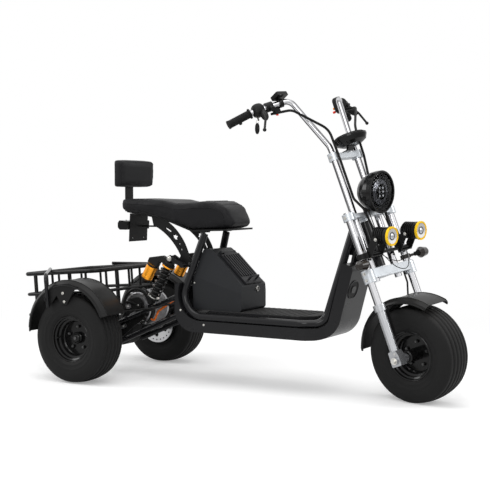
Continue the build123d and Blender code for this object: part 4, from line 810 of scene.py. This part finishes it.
# wheels' trim: hub caps, wheel nuts and valve stems
for wheelName, centre, outward, body in wheels:
    hub = axisFrame(centre, outward, (0, 0, 1))
    trim = []
    if body != "front_wheel":
        trim.append(disc(hub, 0.0215, 0.0300, 0.0205, "rimBlack", 0.004, 36))
        trim.append(disc(hub, 0.0300, 0.0345, 0.0085, "nutDark", 0.0015, 6))
    for k in range(5):
        angle = 2 * math.pi * k / 5
        stud = hub @ Matrix.Translation((0.052 * math.cos(angle), 0.052 * math.sin(angle), 0))
        trim.append(disc(stud, 0.0085, 0.0150, 0.0075, "nutDark", 0.0012, 6))
        trim.append(disc(stud, 0.0145, 0.0180, 0.0042, "nutDark", 0.001, 14))
    valve = hub @ Matrix.Translation((0.0, 0.088, 0))
    stem = [valve @ Vector(p) for p in ((0, -0.001, 0.030), (0, -0.003, 0.045), (0, -0.006, 0.058))]
    trim.append((*tube(smoothPath(stem, 4), 0.0032, 10), "gripRubber"))
    trim.append((*lathe([(0.0600, 0.1010), (0.0655, 0.1015), (0.0675, 0.1045), (0.0662, 0.1062), (0.0640,
        0.1058),
                         (0.0632, 0.1035), (0.0595, 0.1025)], hub, 96), "rimBlack"))
    gathered(wheelName + "_hubTrim", trim, body, 30)
print("wheels trimmed")

# motor cluster: fins, end bells, hoses and brackets
motorForm = dict(x=132.0, z=322.0, r=0.0782, fins=9)
motorPlace = axisFrame(mm(motorForm["x"], 0, motorForm["z"]), (0, -1, 0), (0, 0, 1))
cluster = []
for k in range(motorForm["fins"]):
    at = -0.052 + k * 0.0095
    cluster.append(disc(motorPlace, at, at + 0.0030, motorForm["r"] + 0.0058, "motorAlloy", 0.0008, 72,
                        hole=motorForm["r"] - 0.001))
cluster.append(disc(motorPlace, 0.044, 0.074, motorForm["r"] + 0.0045, "castBlack", 0.003, 72,
                    hole=motorForm["r"] - 0.001))
cluster.append(disc(motorPlace, 0.0784, 0.0800, 0.060, "motorAlloy", 0.0006, 64, hole=0.030))
for k in range(6):
    angle = 2 * math.pi * (k + 0.5) / 6
    ear = motorPlace @ Matrix.Translation((0.0745 * math.cos(angle), 0.0745 * math.sin(angle), 0))
    cluster.append(disc(ear, 0.066, 0.0795, 0.0095, "motorAlloy", 0.002, 20))
    cluster.append(disc(ear, 0.0795, 0.0860, 0.0050, "boltSteel", 0.001, 6))
for points, radius, look in (
        (((60, -92, 300), (72, -94, 372), (118, -94, 412), (176, -92, 404), (206, -84, 352)), 7.0,
        "cableRubber"),
        (((20, -92, 262), (44, -94, 330), (96, -94, 352), (150, -92, 330), (196, -88, 290)), 5.0,
        "cableRubber"),
        (((196, -70, 388), (170, -60, 408), (130, -30, 412), (110, 10, 402)), 5.0, "cableRubber"),
        (((90, -91, 250), (110, -94, 280), (150, -94, 262), (178, -91, 240)), 3.0, "cableRubber")):
    cluster.append((*tube(smoothPath([mm(*p) for p in points]), radius / 1000, 10), look))
for x, z, w, h, look in ((118, 292, 34, 20, "motorAlloy"), (150, 338, 30, 24, "castBlack"),
                         (88, 330, 26, 22, "motorAlloy"), (60, 232, 30, 18, "motorAlloy"), (176, 268, 24,
                         22, "castBlack")):
    block = axisFrame(mm(x, -89, z), (0, -1, 0), (0, 0, 1)) @ Matrix.Rotation(math.radians(x * 7 % 40), 4,
        "Z")
    cluster.append((*plate(roundedBox(h / 1000, w / 1000, 0.004), block, -0.001, 0.009), look))
    cluster.append(disc(block, 0.009, 0.013, 0.0045, "boltSteel", 0.001, 6))
gathered("motorCluster", cluster, "chassis", 30)

# fenders: rolled edges and a raised panel line, and the front fender's
fenderForm = dict(centre=(-10.0, 235.0), near=268.0, far=440.0)
edges = []
for s in (-1, 1):
    for side, radius, start, stop in ((fenderForm["near"], 216.2, -90, 66), (fenderForm["far"], 216.2,
            -90, 66),
                                      (290.5, 240.6, -88, 64), (417.5, 240.6, -88, 64)):
        path = []
        for k in range(49):
            angle = math.radians(start + (stop - start) * k / 48)
            path.append(mm(fenderForm["centre"][0] + radius * math.sin(angle), s * side,
                           fenderForm["centre"][1] + radius * math.cos(angle)))
        edges.append((*tube(path, 0.0026 if radius < 230 else 0.0018, 8), "fenderPlastic"))
gathered("fenderBeads", edges, "chassis", 50)
frontEdges = []
for side, radius in ((87.0, 224.4), (67.5, 246.4)):
    for s in (-1, 1):
        path = []
        for k in range(41):
            angle = math.radians(-68 + 113 * k / 40)
            path.append(fork(43 + radius * math.sin(angle), s * side, axleUp + radius * math.cos(angle)))
        frontEdges.append((*tube(path, 0.0024 if radius < 230 else 0.0016, 8), "fenderPlastic"))
gathered("frontFenderBeads", frontEdges, "steering", 50)

# battery box: lock on its front and side screws; the column's oval pocket; ribs on the mat
dressing = []
lockPlace = axisFrame(mm(728, 30, 436), (1, 0, 0), (0, 0, 1))
dressing.append(disc(lockPlace, -0.001, 0.006, 0.0125, "boltSteel", 0.0015, 32, hole=0.009))
dressing.append(disc(lockPlace, -0.001, 0.0045, 0.009, "castBlack", 0.001, 28))
dressing.append((*plate(roundedBox(0.0075, 0.002, 0.0008, 3), lockPlace, 0.0045, 0.0052), "boltSteel"))
slope = (mm(1134 + 0.2624 * 100, 0, 412) - mm(1134, 0, 312)).normalized()
pocketNormal = Vector((slope.z, 0, -slope.x))
pocketPlace = axisFrame(mm(1134 + 0.2624 * 150 + 72.4, -50, 462), pocketNormal, slope)
outline = roundedBox(0.078, 0.088, 0.036, 10)
rimPath = [pocketPlace @ Vector((x, y, 0.0008)) for x, y in outline]
dressing.append((*tube(rimPath + rimPath[:1], 0.0028, 8), "deckBlack"))
dressing.append((*plate([(x * 0.93, y * 0.93) for x, y in outline], pocketPlace, -0.001, 0.0012),
    "castBlack"))
dressing.append((*plate(roundedBox(0.030, 0.040, 0.012), pocketPlace, 0.0012, 0.0040), "gaugeBlack"))
for k in range(11):
    x = 748 + 27.5 * k
    half = 112 if x < 1010 else 112 - (x - 1010) * 0.5
    rib = Matrix.Translation(mm(x, 0, 339.9))
    dressing.append((*plate(roundedBox(0.012, 2 * half / 1000, 0.004, 3), rib, 0.0, 0.0016), "matRubber"))
gathered("bodyDressing", dressing, "chassis", 30)
print("body dressed")


# Geometry Nodes: bolts on points that carry their own direction, and rings along a line
def newTree(name, inputs):
    tree = bpy.data.node_groups.new(name, "GeometryNodeTree")
    tree.interface.new_socket("Geometry", in_out="INPUT", socket_type="NodeSocketGeometry")
    for socketName, kind, value in inputs:
        socket = tree.interface.new_socket(socketName, in_out="INPUT", socket_type=kind)
        if value is not None:
            socket.default_value = value
    tree.interface.new_socket("Geometry", in_out="OUTPUT", socket_type="NodeSocketGeometry")
    return tree, tree.nodes.new("NodeGroupInput"), tree.nodes.new("NodeGroupOutput")


def useTree(piece, tree, **values):
    modifier = piece.modifiers.new(tree.name, "NODES")
    modifier.node_group = tree
    sockets = {item.name: item.identifier for item in tree.interface.items_tree if item.in_out == "INPUT"}
    for socketName, value in values.items():
        modifier[sockets[socketName.replace("_", " ")]] = value
    return baked(piece)


boltTree, treeIn, treeOut = newTree("boltField", [
    ("Sides", "NodeSocketInt", 6), ("Head High", floatKind, 0.8), ("Washer", floatKind, 1.45),
    ("Finish", "NodeSocketMaterial", None)])
n, l = boltTree.nodes, boltTree.links
head = addNode(n, "GeometryNodeMeshCylinder", {"Radius": 1.0})
washer = addNode(n, "GeometryNodeMeshCylinder", {"Vertices": 20, "Depth": 0.25})
lift = addNode(n, "GeometryNodeTransform")
rise = addNode(n, "ShaderNodeCombineXYZ")
half = addNode(n, "ShaderNodeMath", {1: 0.5, 2: 0.2}, operation="MULTIPLY_ADD")
bolt = addNode(n, "GeometryNodeJoinGeometry")
way = addNode(n, "GeometryNodeInputNamedAttribute", {"Name": "heading"}, data_type="FLOAT_VECTOR")
wide = addNode(n, "GeometryNodeInputNamedAttribute", {"Name": "wide"}, data_type="FLOAT")
aim = addNode(n, "FunctionNodeAlignRotationToVector", axis="Z")
placed = addNode(n, "GeometryNodeInstanceOnPoints")
real = addNode(n, "GeometryNodeRealizeInstances")
finishNode = addNode(n, "GeometryNodeSetMaterial")
wire(l, (treeIn, "Sides", head, "Vertices"), (treeIn, "Head High", head, "Depth"),
     (treeIn, "Washer", washer, "Radius"), (treeIn, "Head High", half, 0), (half, 0, rise, "Z"),
     (head, "Mesh", lift, "Geometry"), (rise, 0, lift, "Translation"), (lift, "Geometry", bolt, 0),
     (washer, "Mesh", bolt, 0), (treeIn, "Geometry", placed, "Points"), (bolt, 0, placed, "Instance"),
     (way, "Attribute", aim, "Vector"), (aim, "Rotation", placed, "Rotation"),
     (wide, "Attribute", placed, "Scale"), (placed, "Instances", real, "Geometry"),
     (real, "Geometry", finishNode, "Geometry"), (treeIn, "Finish", finishNode, "Material"),
     (finishNode, "Geometry", treeOut, "Geometry"))

ringTree, treeIn, treeOut = newTree("ringRow", [
    ("From", "NodeSocketVector", None), ("To", "NodeSocketVector", None), ("Count", "NodeSocketInt", 12),
    ("Ring", floatKind, 0.0165), ("Thick", floatKind, 0.001), ("Finish", "NodeSocketMaterial", None)])
n, l = ringTree.nodes, ringTree.links
line = addNode(n, "GeometryNodeCurvePrimitiveLine")
steps = addNode(n, "GeometryNodeCurveToPoints", mode="COUNT")
hoop = addNode(n, "GeometryNodeCurvePrimitiveCircle", {"Resolution": 32})
section = addNode(n, "GeometryNodeCurvePrimitiveCircle", {"Resolution": 6})
swept = addNode(n, "GeometryNodeCurveToMesh")
placed = addNode(n, "GeometryNodeInstanceOnPoints")
heading = addNode(n, "ShaderNodeVectorMath", operation="SUBTRACT")
aim = addNode(n, "FunctionNodeAlignRotationToVector", axis="Z")
real = addNode(n, "GeometryNodeRealizeInstances")
finishNode = addNode(n, "GeometryNodeSetMaterial")
wire(l, (treeIn, "From", line, "Start"), (treeIn, "To", line, "End"), (line, "Curve", steps, "Curve"),
     (treeIn, "Count", steps, "Count"), (treeIn, "Ring", hoop, "Radius"),
     (treeIn, "Thick", section, "Radius"), (hoop, "Curve", swept, "Curve"),
     (section, "Curve", swept, "Profile Curve"), (treeIn, "To", heading, 0), (treeIn, "From", heading, 1),
     (heading, 0, aim, "Vector"), (steps, "Points", placed, "Points"), (swept, "Mesh", placed, "Instance"),
     (aim, "Rotation", placed, "Rotation"), (placed, "Instances", real, "Geometry"),
     (real, "Geometry", finishNode, "Geometry"), (treeIn, "Finish", finishNode, "Material"),
     (finishNode, "Geometry", treeOut, "Geometry"))


def boltField(name, bolts, body, look, sides=6):
    mesh = bpy.data.meshes.new(name)
    mesh.from_pydata([tuple(at) for at, way, size in bolts], [], [])
    mesh.attributes.new("heading", "FLOAT_VECTOR", "POINT")
    mesh.attributes.new("wide", "FLOAT", "POINT")
    for i, (at, way, size) in enumerate(bolts):
        mesh.attributes["heading"].data[i].vector = Vector(way).normalized()
        mesh.attributes["wide"].data[i].value = size / 1000
    piece = bpy.data.objects.new(name, mesh)
    bpy.context.scene.collection.objects.link(piece)
    useTree(piece, boltTree, Sides=sides, Head_High=0.8, Washer=1.45, Finish=looks[look])
    piece.data.set_sharp_from_angle(angle=math.radians(30))
    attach(piece, body)
    return piece


def ringRow(name, start, end, count, ring, thick, body, look):
    piece = newPiece(name, [start], [], look, None, smooth=False)
    useTree(piece, ringTree, From=tuple(start), To=tuple(end), Count=count, Ring=ring / 1000,
        Thick=thick / 1000,
            Finish=looks[look])
    piece.data.shade_smooth()
    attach(piece, body)
    return piece


for s, sideName in ((-1, "right"), (1, "left")):
    ringRow(sideName + "_gripRibs", fork(*onBar(0.18, s, gripIn, gripOut)), fork(*onBar(0.92, s, gripIn,
        gripOut)), 24,
            16.6, 0.95, "steering", "gripRubber")
    ringRow(sideName + "_signalRibs", fork(70, s * 175, 612), fork(81, s * 190, 612), 6, 8.0, 1.7,
        "steering",
            "gripRubber")
    bar0, bar1 = onBar(0.73, s), onBar(0.95, s)
    ringRow(sideName + "_collarRibs", fork(*bar0), fork(*bar1), 3, 20.2, 0.8, "steering", "controlPlastic")

chassisBolts = []
for s in (-1, 1):
    out = Vector((0, s, 0))
    for x, z in ((436, 339), (561.5, 278.3)):
        chassisBolts.append((mm(x, s * 165, z), out, 3.4))
    for x, z in ((-26, 416), (-17, 378)):
        chassisBolts.append((mm(x, s * 440, z), out, 4.6))
    chassisBolts.append((mm(478, s * 112, 462), out, 3.0))
    for x, z in ((392, 366), (392, 420)):
        chassisBolts.append((mm(x - 1.5, s * 70, z), Vector((-1, 0, 0)), 6.0))
    chassisBolts.append((mm(52, s * 60, 740.5), Vector((0, 0, 1)), 3.5))
boltField("chassisBolts", chassisBolts, "chassis", "boltSteel")
steeringBolts = []
for level, boss, forward, half in ((565, 26.5, 40, 146), (825, 25.5, 40, 146), (1099, 25, 20, 80)):
    for s in (-1, 1):
        for du in ((-14, 14) if level == 565 else (0,)):
            steeringBolts.append((fork(forward + 0.5, s * (half + boss - 0.5), level + du), steerLeft * s,
                5.0))
for s in (-1, 1):
    steeringBolts.append((fork(43, s * 175.6, axleUp), steerLeft * s, 10.0))
    steeringBolts.append((fork(132, s * (105 + 40), 696), steerLeft * s, 5.0))
    steeringBolts.append((fork(132, s * (105 - 40), 696), -steerLeft * s, 5.0))
    steeringBolts.append((fork(40 + 12, s * (146 + 20.5), 205 + 26), steerLeft * s, 3.5))
boltField("steeringBolts", steeringBolts, "steering", "boltSteel")
print("bolts and ribs placed")

# seat cushion and backrest pad: copied from their solids, swollen as cloth, then dressed
padForm = dict(
    seat=dict(node="seat_cushion", voxel=0.0055, shrink=0.004, pressure=1.2, cap=0.0035,
        look="seatLeather"),
    back=dict(node="backrest_pad", voxel=0.0045, shrink=0.003, pressure=0.8, cap=0.0025, look="padLeather"))


def swollenPad(name, form):
    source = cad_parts[form["node"]]
    piece = bpy.data.objects.new(name, source.data.copy())
    piece.data.materials.clear()
    piece.data.materials.append(looks[form["look"]])
    bpy.context.scene.collection.objects.link(piece)
    tidyNormals(piece)
    low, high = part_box(form["node"])
    middle = (Vector(low) + Vector(high)) / 2
    size = Vector(high) - Vector(low)
    for v in piece.data.vertices:
        v.co = middle + Vector([(v.co[i] - middle[i]) * (1 - 2 * form["shrink"] / size[i]) for i in range(3)])
    remesh = piece.modifiers.new("even", "REMESH")
    remesh.mode = "VOXEL"
    remesh.voxel_size = form["voxel"]
    remesh.use_smooth_shade = True
    baked(piece)
    softened = piece.modifiers.new("soften", "SMOOTH")
    softened.iterations = 6
    softened.factor = 0.5
    baked(piece)
    rest = [v.co.copy() for v in piece.data.vertices]
    cloth = piece.modifiers.new("cloth", "CLOTH")
    cloth.settings.use_pressure = True
    cloth.settings.uniform_pressure_force = form["pressure"]
    cloth.settings.effector_weights.gravity = 0
    cloth.settings.quality = 4
    cloth.collision_settings.use_collision = False
    cloth.point_cache.frame_end = 20
    scene = bpy.context.scene
    for step in range(1, 21):
        scene.frame_set(step)
    baked(piece)
    scene.frame_set(1)
    for v, was in zip(piece.data.vertices, rest):
        move = v.co - was
        if move.length > form["cap"]:
            v.co = was + move.normalized() * form["cap"]
    eased = piece.modifiers.new("ease", "SMOOTH")
    eased.iterations = 5
    eased.factor = 0.5
    baked(piece)
    piece.data.shade_smooth()
    return piece


seat = swollenPad("seatSkin", padForm["seat"])
backPad = swollenPad("backrestSkin", padForm["back"])
for piece, node in ((seat, "seat_cushion"), (backPad, "backrest_pad")):
    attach(piece, "chassis")
    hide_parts(node)
print("pads swollen:", len(seat.data.vertices), len(backPad.data.vertices))


# seams and piping on the pads, laid on the swollen skins
def seamOn(piece, points, toward, radius, look, lift=0.0):
    tree = BVHTree.FromPolygons([v.co for v in piece.data.vertices],
        [tuple(p.vertices) for p in piece.data.polygons])
    toward = Vector(toward).normalized()
    path = []
    for point in smoothPath(points, 10):
        hit = tree.ray_cast(point - toward * 0.4, toward)[0]
        if hit is not None:
            path.append(hit - toward * lift)
    if len(path) < 3:
        return None
    return (*tube(path, radius / 1000, 8), look)


seatSeams = []
for s in (-1, 1):
    side = (0, -s, 0)
    for line, radius in ((((70, 822), (150, 822), (330, 812), (400, 798), (480, 805), (560, 806), (600,
            796)), 1.5),
                         (((606, 800), (622, 772), (628, 736), (626, 720)), 1.3)):
        shape = seamOn(seat, [mm(x, 0, z) for x, z in line], side, radius, "seatLeather", 0.0006)
        if shape:
            seatSeams.append(shape)
for x in (600, 560, 520):
    shape = seamOn(seat, [mm(x + abs(y) * 0.12, y, 700) for y in (-96, -60, -20, 20, 60, 96)], (0, 0, -1),
        1.1,
                   "seatLeather", 0.0004)
    if shape:
        seatSeams.append(shape)
shape = seamOn(seat, [mm(384 + abs(y) * 0.1, y, 700) for y in (-130, -80, -20, 20, 80, 130)], (0, 0, -1),
    1.3,
               "seatLeather", 0.0004)
if shape:
    seatSeams.append(shape)
gathered("seatSeams", seatSeams, "chassis", 60)
padLoop = ((-124, 912), (0, 909), (124, 912), (128, 965), (124, 1018), (0, 1021), (-124, 1018), (-128, 965),
           (-124, 912))
shape = seamOn(backPad, [mm(60, y, z) for y, z in padLoop], (-1, 0, 0), 1.3, "padLeather", 0.0004)
if shape:
    gathered("backrestSeams", [shape], "chassis", 60)
print("seams laid")
